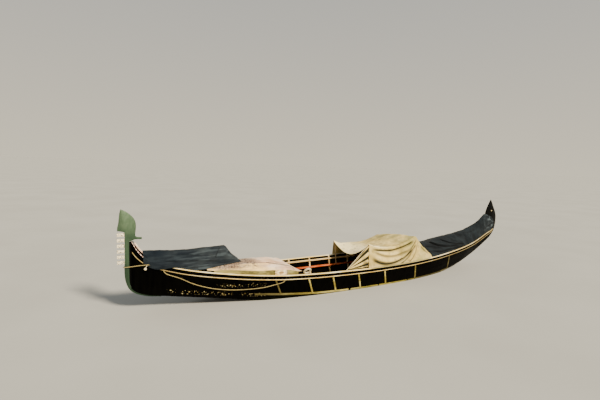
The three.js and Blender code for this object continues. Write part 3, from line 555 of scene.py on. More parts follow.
def oiledSteel():
    # forged steel under an oiled grey green bloom, darker towards its front edge and lower down; the comb of teeth
    # rubbed bright, its cream partly a painted highlight, with painted shade on the teeth's upper and under edges
    mat, obj = startFinish("oiledForgedSteel")
    # the comb's cream: polished steel, partly a painted highlight
    comb = fades(mat, obj, 0, 5.3, 5.308, fades(mat, obj, 2, 1.6, 1.585))
    comb = fades(mat, obj, 2, 1.01, 1.02, comb)
    spots = blotches(mat, obj, 24, 0.85, detail=3, seed=6.0, edges=(0.54, 0.6))
    bright = layered(mat, "#fff3d0", [(spots, "#2b2718")])
    # painted shade on the teeth's upper and under edges
    edges = [facing(mat, 2, 0.3 * up, 0.6 * up, comb) for up in (1, -1)]
    colour = layered(mat, "#4f664b", [
        (blotches(mat, obj, 300, 0.5, (1, 1, 0.5), 3), "#4b624a"),
        (blotches(mat, obj, 40, 0.12, (1, 1, 0.6), 6, 4.0), "#93a686"),
        (fades(mat, obj, 0, 5.33, 5.42, 0.35), "#2f4433"),
        (fades(mat, obj, 2, 1.72, 1.5, 0.6), "#24402f"),
        (fades(mat, obj, 2, 1.1, 0.9, 0.6), "#18301f"),
        (comb, bright), (edges[0], "#2a2819"), (edges[1], "#1b1a10")])
    rough = addNode(mat, "Math", {"operation": "MULTIPLY_ADD", 0: comb, 1: 0.15,
                                  2: blotches(mat, obj, 120, 0.5, seed=2.0, low=0.4)})
    metal = addNode(mat, "MapRange", {"Value": comb, "To Min": 0.5, "To Max": 0.05})
    return endFinish(mat, {"Base Color": colour, "Roughness": rough, "Metallic": metal},
                     blotches(mat, obj, 60, detail=3, seed=7.0), 0.0008, 0.35)


def castBrass():
    # cast brass polished by hand: warm and bright
    mat, obj = startFinish("polishedCastBrass")
    colour = layered(mat, "#fff0c0", [(blotches(mat, obj, 12), "#d9bd7c")])
    return endFinish(mat, {"Base Color": colour, "Roughness": blotches(mat, obj, 8, 0.36, low=0.22), "Metallic": 0.9})


def hempRope(name, light, dark):
    # three strand hemp: fuzzy, brown between the strands
    mat, obj = startFinish(name)
    colour = layered(mat, light, [(blotches(mat, obj, 9, detail=6), dark),
                                  (blotches(mat, obj, 160, 0.35, detail=3, seed=3.0), "#7d6a45")])
    return endFinish(mat, {"Base Color": colour, "Roughness": 0.9, "Sheen Weight": 0.2},
                     blotches(mat, obj, 3, detail=3, seed=5.0), 0.0008, 0.6)


def seatLeather():
    # dark red leather over horsehair: fine grain, polished by use
    mat, obj = startFinish("darkRedLeather")
    colour = layered(mat, "#8a3a2b", [(blotches(mat, obj, 120), "#4c1d16")])
    cells = addNode(mat, "TexVoronoi", {"Vector": obj, "Scale": perMetre(6)})
    return endFinish(mat, {"Base Color": colour, "IOR": 1.5, "Roughness": blotches(mat, obj, 60, 0.6, low=0.38)},
                     cells)


def studioPaint():
    # matt pale studio paint, rolled
    mat, obj = startFinish("mattStudioPaint")
    colour = layered(mat, "#aeafab", [(blotches(mat, obj, 2600), "#a9aaa6")])
    return endFinish(mat, {"Base Color": colour, "Roughness": 0.9, "Specular IOR Level": 0.0},
                     blotches(mat, obj, 40), 0.0004, 0.3)


hullPaint, postPaint = paintedHull("blackEnamelOnLarch", 0.005), paintedHull("blackEnamelOnPosts", 0.06)
# worn yellow varnish, bleached nearly white on top by the sun
capWood = timber("bleachedVarnishedCap", "#ffedac", "#e2c478", "#fffadc", 0.42, 12, 0.7, notchedByStem, 0.12)
# straw coloured varnish, rubbed pale, browner low down
railWood = timber("rubbedVarnishedRail", "#f8de94", "#be9a50", "#fff4c2", 0.45, 12, 0.6, lappedByHullPaint, 0.12)
# raw fender strip, yellow olive
bandWood = timber("weatheredFenderLarch", "#b5a244", "#6f6224", "#ddcd7e", 0.62, 14, 0.6, greenLowDown)
# cream paint over ash ribs, chalky and chipped
ribWood = timber("creamPaintedAsh", "#efd9a2", "#bf9e60", "#fff2cc", 0.5, 10, 0.5)
# orange red varnish in full sun
orangeWood = timber("orangeVarnishedLarch", "#e8642a", "#98300f", "#f7a168", 0.36, 10, 0.35, coat=0.3)
# dark red varnish of the seat, grain nearly black
seatWood = timber("redVarnishedMahogany", "#8c3320", "#42120a", "#ad5738", 0.36, 10, 0.3, coat=0.3)
# bare boards grey with salt, with dark joints
floorWood = timber("scrubbedPine", "#9c7a48", "#63492b", "#b5a078", 0.66, 16, 0.4, darkJoints)
# olive paint worn through to pale wood along the edges
washWood = timber("oliveWashedPine", "#857b42", "#504a26", "#b8ad70", 0.6, 12, 0.45)
# peeled pole, silvery
poleWood = timber("palePeeledPole", "#d9c28e", "#94784a", "#eedfb8", 0.7, 8, 0.4, along=0.5)
# twisted moulding under pinkish white paint
mouldingWood = timber("pinkWhitePaintedPine", "#eed2ba", "#bf927a", "#fff0e2", 0.5, 9, 0.5, along=0.5)
# chalk white board end with a brown knot
boardWood = timber("knottyDealBoard", "#fff2c8", "#b8945a", "#fffae4", 0.6, 30, 0.3, ovalKnot, along=0.6)
# proofed cotton gone chalky on the ridge, blue black low down by the bow
navyCanvas = canvas("navyBoatCanvas", "#22282e", "#151c23", "#3d4446", 0.45, "#171d25", 0.5, "#050608", duskyByStem)
# darker proofed cotton, its folds darkened near black with painted shade
slateCanvas = canvas("slateBoatCanvas", "#131b21", "#0b1217", "#2c363c", 0.35, "#090c10", 0.4, "#010102", paleAtStern)
# undyed cotton bleached by the sun, with green-black painted shade in the folds, a painted highlight on the
# upward-facing fore part and grey-green painted shade in blotches over the aft part
beigeCanvas = canvas("beigeBoatCanvas", "#e2c87c", "#b6a25c", "#f8e6a6", 0.5, "#7f7240", 0.4, "#0c120a", paintedLightAheadShadeAft)
# faded rose brown cotton, darker and speckled towards the bow, with a cream painted highlight on the faces turned to
# port
paleCanvas = canvas("paleBoatCanvas", "#f4d0ae", "#d4ab8a", "#fff2de", 0.7, "#8c6a50", 0.35, "#4a3824", darkByBowPaintedLightPort)
bowSteel, brass, leather = oiledSteel(), castBrass(), seatLeather()
paleRope, brownRope = hempRope("bleachedHemp", "#fff8de", "#dcc78c"), hempRope("brownedHemp", "#b3a468", "#6a5c38")
darkRope = hempRope("tarredHemp", "#54452c", "#2c2416")
print("stage: materials")


# The rope that hangs along the port bow, the one free cord
ropeSet = {"radius": 0.008, "exitX": 10.04, "endX": 7.77, "bulge": 0.026,
    "low": [(10.0, 0.69), (9.76, 0.59), (9.52, 0.47), (9.18, 0.362), (8.78, 0.308), (8.24, 0.312), (8.01, 0.35),
    (7.8, 0.4)]}


def underRail(x):
    slope = abs(sheer(x + 0.008) - sheer(x - 0.008))
    return float(sheer(x) - hullSet["railDrop"] - hullSet["railHeight"] / 2 - 0.0049 - 0.5 * slope)


def swagPoint(x, z):
    ends = [float(hullSide(q, underRail(q), 1)) + 0.011 for q in (ropeSet["exitX"], ropeSet["endX"])]
    t = (ropeSet["exitX"] - x) / (ropeSet["exitX"] - ropeSet["endX"])
    return [x, ends[0] * (1 - t) + ends[1] * t + ropeSet["bulge"] * math.sin(math.pi * t), z]


swagRoute = [swagPoint(ropeSet["exitX"], underRail(ropeSet["exitX"]))]
swagRoute += [swagPoint(x, z) for x, z in ropeSet["low"]]
swagRoute += [swagPoint(ropeSet["endX"], underRail(ropeSet["endX"]))]
swagLine = smoothPath(swagRoute, 0.012)
swag = makePiece("swagRope", *laidRope(swagRoute, ropeSet["radius"], 0.05), brownRope, "rope", ["swag_rope"])

# Hull sides
seams = (0.27, 0.52, 0.77)  # parts of the side's height where two planks meet
plankRows = [(t, 0.0) for t in np.linspace(0, 1, 15) if min(abs(t - seam) for seam in seams) > 0.015]
plankRows += [(seam + d * hullSet["seamWidth"], 0.0 if d else hullSet["seamDepth"])
              for seam in seams for d in (-1, 0, 1)]
plankRows.sort()


def sidePlanking(s):
    def ringAt(x):
        low, height = bottom(x), sheer(x) - hullSet["gunwaleHeight"] - restGap - bottom(x)
        outer = [[x, s * (hullSide(x, low + t * height, s) - d), low + t * height] for t, d in plankRows]
        return outer + [[x, s * hullInside(x, low + t * height, s), low + t * height] for t in np.linspace(1, 0, 8)]
    return alongHull(0.09, 10.57, ringAt)


def gunwale(s):
    def ringAt(x):
        h, b, z1 = hullSet, rim(x, s), sheer(x)
        inner, outer = max(b - h["gunwaleIn"], h["postHalf"] + restGap), b + h["gunwaleOut"]
        z0 = z1 - h["gunwaleHeight"]
        ring = boxRing(x, s, inner, outer, z0, z1, 0.006, 4)
        away = (np.abs(ring[:, 1]) - (inner + outer) / 2) / ((outer - inner) / 2)
        ring[:, 2] -= np.where(ring[:, 2] > z0 + h["gunwaleHeight"] / 2, 0.0022 * np.clip(away ** 2, 0, 1), 0)
        return ring
    return alongHull(0.09, 10.57, ringAt)


railFall = smoothCurve([(10.15, 0.0), (10.4, 0.03), (10.56, 0.09)])  # the rail falls away from the cap by the stem


def rubRail(s):
    def ringAt(x):
        h = hullSet
        z = sheer(x) - h["railDrop"] * min(1.0, (sheer(x) - bottom(x)) / 0.3) - railFall(x)
        y, half = hullSide(x, z, s) + 0.001, h["railHeight"] / 2
        ring = [[x, s * (y + h["railOut"] * math.cos(a) ** 0.7), z + half * math.sin(a)]
                for a in np.linspace(-math.pi / 2, math.pi / 2, 9)]
        return ring + [[x, s * (hullSide(x, q, s) - 0.001), q] for q in (z + half, z - half)]
    return alongHull(0.13, 10.56, ringAt)


bandSet = {"line": [(1.9, 0.036), (2.6, 0.012), (3.5, -0.004), (4.2, -0.01), (5.2, -0.002), (6.0, 0.005),
    (6.65, 0.02), (7.25, 0.05), (8.0, 0.106), (8.34, 0.136)], "strips": [(2.56, 4.31), (4.35, 5.27), (5.31, 6.1),
    (6.16, 8.34)], "battens": [2.76, 4.21, 5.23, 5.99, 6.66, 7.24, 7.96], "rake": 0.17}
bandLine = smoothCurve(bandSet["line"])


def waterBand(s):
    h, parts = hullSet, []

    def ringAt(x):
        z0 = max(bandLine(x), bottom(x) + 0.003)
        z1 = z0 + h["bandHeight"]
        a, b = hullSide(x, z0, s), hullSide(x, z1, s)
        corners = [(a - 0.001, z0), (a + h["bandOut"], z0), (b + h["bandOut"], z1), (b - 0.001, z1)]
        return acrossRing(x, s, corners, 0.005)

    for strip in bandSet["strips"]:
        parts.append(alongHull(*strip, ringAt))
    half, rake = h["battenWidth"] / 2, bandSet["rake"]
    for head in bandSet["battens"]:
        z0 = max(bandLine(head - rake), bottom(head - rake)) + 0.008
        z1 = sheer(head) - h["railDrop"] - h["railHeight"] / 2 - 0.004
        rows = []
        for t in np.linspace(0, 1, 12):
            x, z = head - rake * (1 - t), z0 + (z1 - z0) * t
            y0, y1 = hullSide(x, z, s) - 0.001, hullSide(x, z, s) + 0.015
            rows.append(levelRing(z, s, [(x - half, y0), (x - half, y1), (x + half, y1), (x + half, y0)]))
        parts.append(loft(rows))
    return joinMeshes(parts)


for sideName, s in sides:
    ofSide = {part: [f"{part}_{sideName}_{length}" for length in lengths] for part in ("side_planking", "gunwale")}
    makePiece("hullSide_" + sideName, *sidePlanking(s), hullPaint, "lacquer", ofSide["side_planking"], 50)
    makePiece("gunwaleCap_" + sideName, *gunwale(s), capWood, "gunwale", ofSide["gunwale"], 50)
    makePiece("rubRail_" + sideName, *rubRail(s), railWood, "rail", ["rub_rail_" + sideName], 50)
    makePiece("waterBand_" + sideName, *waterBand(s), bandWood, "band", ["water_band_" + sideName], 40)
print("stage: hull sides, gunwales, rails and bands")

# Ribs and the two stringers that tie them
frameSet = {"places": [3.51, 4.1, 4.69, 5.28, 5.87, 6.46, 7.05, 7.64, 8.23], "wide": 0.03, "deep": 0.034,
            "clear": 0.0012, "ends": (0.026, 0.0234), "stringers": (3.49, 8.25), "notch": 0.006,
            "upper": (0.062, 0.034, 0.026), "lower": (0.215, 0.024, 0.078)}  # stringers: below the sheer, high, wide


def ribs(s):
    half, deep, parts = frameSet["wide"] / 2, frameSet["deep"], []
    for x in frameSet["places"]:
        rows = []
        for z in np.linspace(bottom(x) + frameSet["ends"][0], sheer(x) - frameSet["ends"][1], 10):
            y = hullInside(x, z, s) - frameSet["clear"]
            rows.append(levelRing(z, s, [(x - half, y - deep), (x + half, y - deep), (x + half, y), (x - half, y)]))
        parts.append(loft(rows))
    return joinMeshes(parts)


def stringer(s, drop, high, wide):
    def ringAt(x):
        z1, z0 = sheer(x) - drop, sheer(x) - drop - high
        y = hullInside(x, z0, s) - frameSet["deep"] + frameSet["notch"]
        return boxRing(x, s, y - wide, y, z0, z1, 0.004)
    return alongHull(*frameSet["stringers"], ringAt)


for sideName, s in sides:
    inside = [("ribs_", ribs(s), ribWood), ("upperStringer_", stringer(s, *frameSet["upper"]), ribWood),
              ("lowerStringer_", stringer(s, *frameSet["lower"]), orangeWood)]
    for name, mesh, material in inside:
        makePiece(name + sideName, *mesh, material, "inner_wood", ["frames_" + sideName], 40)
print("stage: frames")

# Posts at the ends
stemOutline = [(10.18, 0.263), (10.25, 0.271), (10.4, 0.319), (10.5, 0.373), (10.57, 0.442), (10.597, 0.52),
    (10.604, 0.66), (10.604, 1.302), (10.532, 1.302), (10.53, 0.66), (10.5, 0.56), (10.4, 0.455), (10.18, 0.36)]
sternOutline = [(0.262, 1.89), (0.195, 1.8), (0.13, 1.69), (0.05, 1.58), (-0.008, 1.47), (-0.036, 1.38),
    (-0.042, 1.28), (-0.034, 1.13), (0.0, 1.0), (0.048, 0.905), (0.115, 0.82), (0.21, 0.742), (0.34, 0.664),
    (0.48, 0.59), (0.62, 0.525), (0.74, 0.474), (0.74, 0.56), (0.62, 0.622), (0.43, 0.745), (0.3, 0.86), (0.24, 0.96),
    (0.25, 1.06), (0.33, 1.17), (0.43, 1.29), (0.485, 1.4), (0.478, 1.5), (0.44, 1.6), (0.39, 1.69), (0.332, 1.79)]
postProfile = [(0.005, -0.014), (0.0015, -0.0125), (0.0, -0.009), (0.0, 0.009), (0.0015, 0.0125), (0.005, 0.014)]
makePiece("stemPost", *shapedPlate(softOutline(stemOutline, (0, 7, 8, 12)), postProfile), postPaint, "lacquer",
          ["stem_post"], 30)
makePiece("sternPost", *shapedPlate(softOutline(sternOutline, (0, 15, 16)), postProfile), postPaint, "lacquer",
          ["stern_post"], 30)

# Bow iron: blade, comb of six teeth, the tooth behind, and the band down the stem
ironSet = {"teeth": [0.93, 1.03, 1.13, 1.23, 1.33, 1.43], "root": 10.678, "tip": 10.806, "half": 0.031,
    "front": [(10.055, 0.216), (10.25, 0.238), (10.41, 0.285), (10.52, 0.338), (10.6, 0.41), (10.645, 0.495),
    (10.674, 0.6), (10.686, 0.72), (10.686, 0.88)], "blade": [(10.69, 1.478), (10.74, 1.492), (10.8, 1.5),
    (10.8, 1.552), (10.782, 1.63), (10.772, 1.72), (10.762, 1.83), (10.742, 1.89), (10.662, 1.852), (10.6, 1.803),
    (10.53, 1.732), (10.494, 1.65), (10.488, 1.56), (10.5, 1.47), (10.508, 1.385), (10.392, 1.372), (10.392, 1.334),
    (10.52, 1.34), (10.545, 1.318), (10.6045, 1.306), (10.6045, 0.66), (10.5975, 0.5198), (10.5705, 0.4414),
    (10.5004, 0.3722), (10.4003, 0.318), (10.2502, 0.269), (10.18, 0.259), (10.055, 0.235)],
    "sharp": (2, 7, 15, 16, 19, 27)}
ironOutline, ironSharp = list(ironSet["front"]), {0}
for z in ironSet["teeth"]:
    for x, up in (("root", -1), ("tip", -1), ("tip", 1), ("root", 1)):
        ironSharp.add(len(ironOutline))
        ironOutline.append((ironSet[x], z + up * ironSet["half"]))
ironSharp |= {len(ironOutline) + k for k in ironSet["sharp"]}
ironOutline += ironSet["blade"]
ironProfile = [(0.0045, -0.009), (0.0018, -0.0078), (0.0, -0.0045), (0.0, 0.0045), (0.0018, 0.0078), (0.0045, 0.009)]
ironParts = [shapedPlate(softOutline(ironOutline, ironSharp), ironProfile)]
toothRib = [(0, -0.022), (0.0035, -0.016), (0.0042, 0), (0.0035, 0.016), (0, 0.022)]
for z in ironSet["teeth"]:  # a raised rib along each tooth, both sides
    for s in (1, -1):
        rows = [[(x, s * (0.0085 + out * k), z + up * k) for out, up in toothRib]
                for x, k in ((10.69, 0.3), (10.705, 1.0), (10.78, 1.0), (10.797, 0.3))]
        ironParts.append(loft(rows))
makePiece("bowIron", *joinMeshes(ironParts), bowSteel, "iron", ["bow_iron"], 30)

# Studs on the stern post
studSet = {"x": 0.212, "y": 0.0142, "z": 1.552, "radius": 0.021, "turned": [(0.0, 1.0), (0.0015, 1.02), (0.003, 0.86),
    (0.004, 0.72), (0.007, 0.7), (0.012, 0.62), (0.017, 0.45), (0.021, 0.24), (0.0235, 0.02)]}
for sideName, s in sides:
    rings = [[(studSet["x"] + studSet["radius"] * r * math.cos(a), s * (studSet["y"] + d),
               studSet["z"] + studSet["radius"] * r * math.sin(a)) for a in fullTurn(28)] for d, r in studSet["turned"]]
    makePiece("sternStud_" + sideName, *loft(rings), brass, "stud", ["stern_stud_" + sideName], 40)
print("stage: posts, bow iron and studs")

# Foredeck moulding, carved like a rope
deckCrown = smoothCurve([(8.6, 0.07), (9.6, 0.075), (10.2, 0.062), (10.4, 0.066), (10.52, 0.07)])
mouldRoute = [(x, 0.0, float(sheer(x) - 0.0044 + deckCrown(x))) for x in np.linspace(9.3, 10.515, 14)]
makePiece("foredeckMoulding", *laidRope(mouldRoute, 0.017, 0.11, 18, 12), mouldingWood, "pale_wood",
          ["foredeck_moulding"])

# Corner poles of the seat cover
poleSet = {"frontPort": (1, 5.69, 1.0), "rearPort": (1, 4.39, 1.03), "frontStarboard": (-1, 5.69, 0.82),
           "rearStarboard": (-1, 4.39, 0.88)}
poleFit = {"down": 0.213, "footIn": 0.068, "headIn": 0.07, "radius": 0.0125}
poleNodes = ["cover_post_front_port", "cover_post_rear_port", "cover_post_front_starboard", "cover_post_rear_starboard"]
for seed, (name, (s, x, z1)) in enumerate(poleSet.items()):
    z0 = float(sheer(x)) - poleFit["down"]
    foot, head = float(hullInside(x, z0, s)) - poleFit["footIn"], float(breadth[s](x)) - poleFit["headIn"]
    pole = lumpyBar((x, s * foot, z0), (x, s * head, z1), poleFit["radius"], seed + 3)
    makePiece("coverPole_" + name, *pole, poleWood, "pale_wood", [poleNodes[seed]], 60)

# Tie from the seat cover's corner down to the gunwale
tieSet = {"peak": (5.744, 1.047), "middle": (6.04, 0.781), "foot": 6.33, "radius": 0.006}
peakY, footY = rim(5.73, 1) - 0.048, rim(6.33, 1) - 0.016
tieRoute = [(tieSet["peak"][0], peakY, tieSet["peak"][1]), (tieSet["middle"][0], peakY + 0.01, tieSet["middle"][1]),
            (tieSet["foot"], footY, float(sheer(6.33)) + 0.0049)]
makePiece("seatCoverTie", *laidRope(tieRoute, tieSet["radius"], 0.03), paleRope, "rope", ["tie_front_port"])

# Rope round the stem, with the knot that hangs from its end
stemRopeSet = {"radius": 0.008, "lay": 0.05, "knot": (10.35, 0.11, 0.798), "knotRadius": 0.0178}
around = float(hullSide(10.3, 0.85, 1)) + hullSet["railOut"] + 0.014
stemLoop = [(10.285, around + 0.014, 0.868), (10.3, around + 0.002, 0.872), (10.35, around - 0.009, 0.868),
            (10.43, 0.068, 0.861), (10.56, 0.048, 0.85), (10.672, 0.028, 0.842), (10.7044, 0.0, 0.84)]
stemLoop += [(x, -y, z) for x, y, z in reversed(stemLoop[2:6])] + [(10.3, -around, 0.872)]
makePiece("stemRope", *laidRope(stemLoop, stemRopeSet["radius"], stemRopeSet["lay"]), brownRope, "rope", ["stem_rope"])
knotPath = []
for t in fullTurn(90):  # a ball of interwoven turns
    lift = 0.72 * math.sin(5 * t)
    r = math.sqrt(1 - lift * lift * 0.9)
    knotPath.append(np.array(stemRopeSet["knot"])
                    + np.array([r * math.cos(3 * t), r * math.sin(3 * t), lift]) * stemRopeSet["knotRadius"])
knotTail = [stemRopeSet["knot"], (10.337, 0.5 * (0.11 + around), 0.832), (10.3194, around + 0.0061, 0.8616)]
knotMesh = joinMeshes([laidRope(knotPath, 0.0074, 0.03, 12, 8, True), laidRope(knotTail, 0.006, 0.03)])
makePiece("stemRopeKnot", *knotMesh, paleRope, "rope", ["stem_rope_knot"])

# Coil of thin line over the port gunwale
coilSet = {"turns": 6, "wide": 0.0713, "deep": 0.062, "thick": 0.0125, "tilt": 0.95, "radius": 0.0062, "x": 7.29}
coilMiddle = np.array([coilSet["x"], rim(coilSet["x"], 1) - 0.012, float(sheer(coilSet["x"])) + 0.0666])
coilPath = []
for t in np.linspace(0, 1, coilSet["turns"] * 26):
    a = 2 * math.pi * coilSet["turns"] * t
    b = 4 * math.pi * t + 0.7 * math.sin(3 * a / coilSet["turns"])
    ring = 1 + 0.18 * math.cos(b)
    x, y, z = coilSet["wide"] * ring * math.cos(a), coilSet["deep"] * ring * math.sin(a), coilSet["thick"] * math.sin(b)
    tilt = coilSet["tilt"]
    turned = [x, y * math.cos(tilt) - z * math.sin(tilt), y * math.sin(tilt) + z * math.cos(tilt)]
    coilPath.append(coilMiddle + np.array(turned))
makePiece("ropeCoil", *laidRope(coilPath, coilSet["radius"], 0.034, 12, 8), paleRope, "rope", ["rope_coil"])

# Loose board that stands on the port gunwale and leans on the washboard
boardSet = {"x": (7.725, 7.98), "high": 0.103, "foot": (0.022, 0.013), "head": (0.022, 0.031), "round": 0.003}
boardRings = []
for x in np.linspace(*boardSet["x"], 12):
    b, z = rim(x, 1), float(sheer(x)) + restGap
    corners = [(b - y, z) for y in boardSet["foot"]] + [(b - y, z + boardSet["high"]) for y in boardSet["head"]]
    boardRings.append(acrossRing(x, 1, corners, boardSet["round"]))
makePiece("looseBoard", *loft(boardRings), boardWood, "pale_wood", ["loose_board"], 40)

# Washboards inside the gunwales, beside the fore cockpit
washSet = {"thick": 0.014, "in": 0.0344, "down": 0.015, "x": (7.48, 9.15),
    "up": [(7.48, 0.06), (7.7, 0.098), (8.0, 0.095), (8.3, 0.072), (8.7, 0.07), (9.0, 0.052), (9.15, 0.024)]}
washUp = smoothCurve(washSet["up"])
for sideName, s in sides:
    rings = []
    for x in between(*washSet["x"]):
        a, z0, z1 = rim(x, s) - washSet["in"], sheer(x) - washSet["down"], sheer(x) + washUp(x)
        rings.append(boxRing(x, s, a - washSet["thick"], a, z0, z1, 0.004))
    makePiece("washPlank_" + sideName, *loft(rings), washWood, "band", ["washboard_" + sideName], 40)

# Seat cushion
cushionSet = {"x": (4.312, 4.868), "y": (-0.318, 0.488), "z": (0.2508, 0.324), "crown": 0.02}
(cx0, cx1), (cy0, cy1), (cz0, cz1) = cushionSet["x"], cushionSet["y"], cushionSet["z"]
rings = []
for v in np.linspace(0, math.pi, 26):
    ring, reach, h = [], max(math.sin(v), 0.0) ** 0.35, math.cos(v)
    for a in fullTurn(72):
        px, py = (math.copysign(abs(q) ** 0.32, q) * reach for q in (math.cos(a), math.sin(a)))
        pinch = 1 - 0.03 * (1 - abs(px * py)) * reach
        z = (cz0 + cz1) / 2 - math.copysign(abs(h) ** 0.6, h) * (cz1 - cz0) / 2
        z += cushionSet["crown"] * (1 - px * px) * (1 - py * py) * min(1.0, max(0.0, -h * 3))
        ring.append(((cx0 + cx1) / 2 + px * pinch * (cx1 - cx0) / 2, (cy0 + cy1) / 2 + py * pinch * (cy1 - cy0) / 2, z))
    rings.append(ring)
cushion = makePiece("seatCushion", *loft(rings), leather, "cushion", ["seat_cushion"], 60)
print("stage: poles, ropes, boards and cushion")


# Cloth
def gridNormals(grid):
    n = np.cross(np.gradient(grid, axis=0), np.gradient(grid, axis=1))
    n = n / np.maximum(np.linalg.norm(n, axis=2), 1e-9)[..., None]
    return -n if n[..., 2].mean() < 0 else n


def clothSheet(grid, thickness):
    m, n = grid.shape[:2]
    verts = np.concatenate([(grid + gridNormals(grid) * thickness).reshape(-1, 3), grid.reshape(-1, 3)])
    index = np.arange(m * n).reshape(m, n)
    quads = np.stack([index[:-1, :-1], index[1:, :-1], index[1:, 1:], index[:-1, 1:]], -1).reshape(-1, 4)
    faces = [tuple(q) for q in quads] + [tuple(q[::-1] + m * n) for q in quads]
    edge = list(index[:, 0]) + list(index[-1, 1:]) + list(index[::-1, -1][1:]) + list(index[0, ::-1][1:-1])
    for a, b in zip(edge, edge[1:] + edge[:1]):
        faces.append((a, b, b + m * n, a + m * n)[::-1])
    flat = np.zeros((m, n, 2))
    flat[1:, :, 0] = np.cumsum(stepLengths(grid, 0), axis=0)
    flat[:, 1:, 1] = np.cumsum(stepLengths(grid, 1), axis=1)
    flat = flat.reshape(-1, 2)
    return verts, facingOut(verts, faces), np.concatenate([flat, flat])


def sheetArea(grid):
    a = np.cross(grid[1:, :-1] - grid[:-1, :-1], grid[:-1, 1:] - grid[:-1, :-1])
    b = np.cross(grid[:-1, 1:] - grid[1:, 1:], grid[1:, :-1] - grid[1:, 1:])
    return 0.5 * (np.linalg.norm(a, axis=2).sum() + np.linalg.norm(b, axis=2).sum())


def fineRow(points, places):
    points = np.asarray(points, float)
    t = np.linspace(0, 1, len(points))
    return np.stack([smoothCurve(list(zip(t, points[:, k])))(places) for k in range(3)], 1)


def ripples(grid, length, seed, waves=7):
    draw = np.random.default_rng(seed)
    total = np.zeros(grid.shape[:2])
    for _ in range(waves):  # waves that cross at any angle, in space, so that they don't stretch with the grid
        way = draw.normal(size=3)
        k = 2 * math.pi / (length * draw.uniform(0.7, 1.5))
        total += np.sin(k * (grid @ (way / np.linalg.norm(way))) + draw.uniform(0, 2 * math.pi))
    return total / waves ** 0.5


def foldField(grid, folds):
    # each fold is a ridge along a line, sharp on its lower side, with painted shade laid along below it
    normals, push, paintedShade = gridNormals(grid), np.zeros(grid.shape[:2]), np.zeros(grid.shape[:2])
    for route, wide, high, dark in folds:
        line = smoothPath(route, 0.02)
        step = np.diff(line, axis=0)
        away = grid[:, :, None, :] - line[None, None, :-1, :]
        t = np.clip((away * step).sum(-1) / (step * step).sum(-1), 0, 1)
        gap = away - t[..., None] * step
        far = np.linalg.norm(gap, axis=3)
        best = far.argmin(2)
        pick = (np.arange(grid.shape[0])[:, None], np.arange(grid.shape[1])[None, :], best)
        below = np.sign((gap[pick] * np.cross(step[best], normals)).sum(-1))
        off, along = far[pick] * below / wide, (best + t[pick]) / len(step)
        ends = np.clip(along / 0.14, 0, 1) * np.clip((1 - along) / 0.14, 0, 1)
        ends = ends * ends * (3 - 2 * ends)
        ridge = np.where(off < 0, np.exp(-off ** 2), np.exp(-(off / 0.5) ** 2))
        push += high * ends * (ridge - 0.6 * np.exp(-((off - 1.05) / 0.55) ** 2))
        paintedShade = np.maximum(paintedShade, dark * ends * np.exp(-((off - 0.9) / 0.62) ** 2))
    return push, paintedShade


def edgeFade(shape, rows, columns, low):
    i = np.minimum(np.arange(shape[0]), np.arange(shape[0])[::-1])[:, None] / rows
    j = np.minimum(np.arange(shape[1]), np.arange(shape[1])[::-1])[None, :] / columns
    return low + (1 - low) * np.clip(i, 0, 1) * np.clip(j, 0, 1)


def makeCover(name, grid, look, material, slot, stands):
    push, paintedShade = foldField(grid, look["folds"])
    for length, high, seed in look["ripples"]:
        wave = ripples(grid, length, seed)
        push += high * wave
        # painted shade in the ripples' hollows
        paintedShade = np.maximum(paintedShade, look["rippleShade"] * np.clip(-wave - 0.5, 0, 1))
    push = np.clip(push * edgeFade(push.shape, *look["fade"]), *look["limits"])
    if "fan" in look:
        lift, shade = look["fan"](grid)
        push, paintedShade = push + lift, np.maximum(paintedShade, shade)
    if "calm" in look:
        push = push * look["calm"](grid)
    grid = grid + gridNormals(grid) * push[..., None]
    verts, faces, uv = clothSheet(grid, clothThick)
    piece = makePiece(name, verts, faces, material, slot, stands, None, uv, np.concatenate([paintedShade.ravel()] * 2))
    width = round(float(stepLengths(grid, 1).sum(1).max()), 2)
    length = round(float(stepLengths(grid, 0).sum(0).max()), 2)
    area = min(round(float(sheetArea(grid)), 3), width * length)
    print("    cloth", name, width, "by", length, "m, area", area)


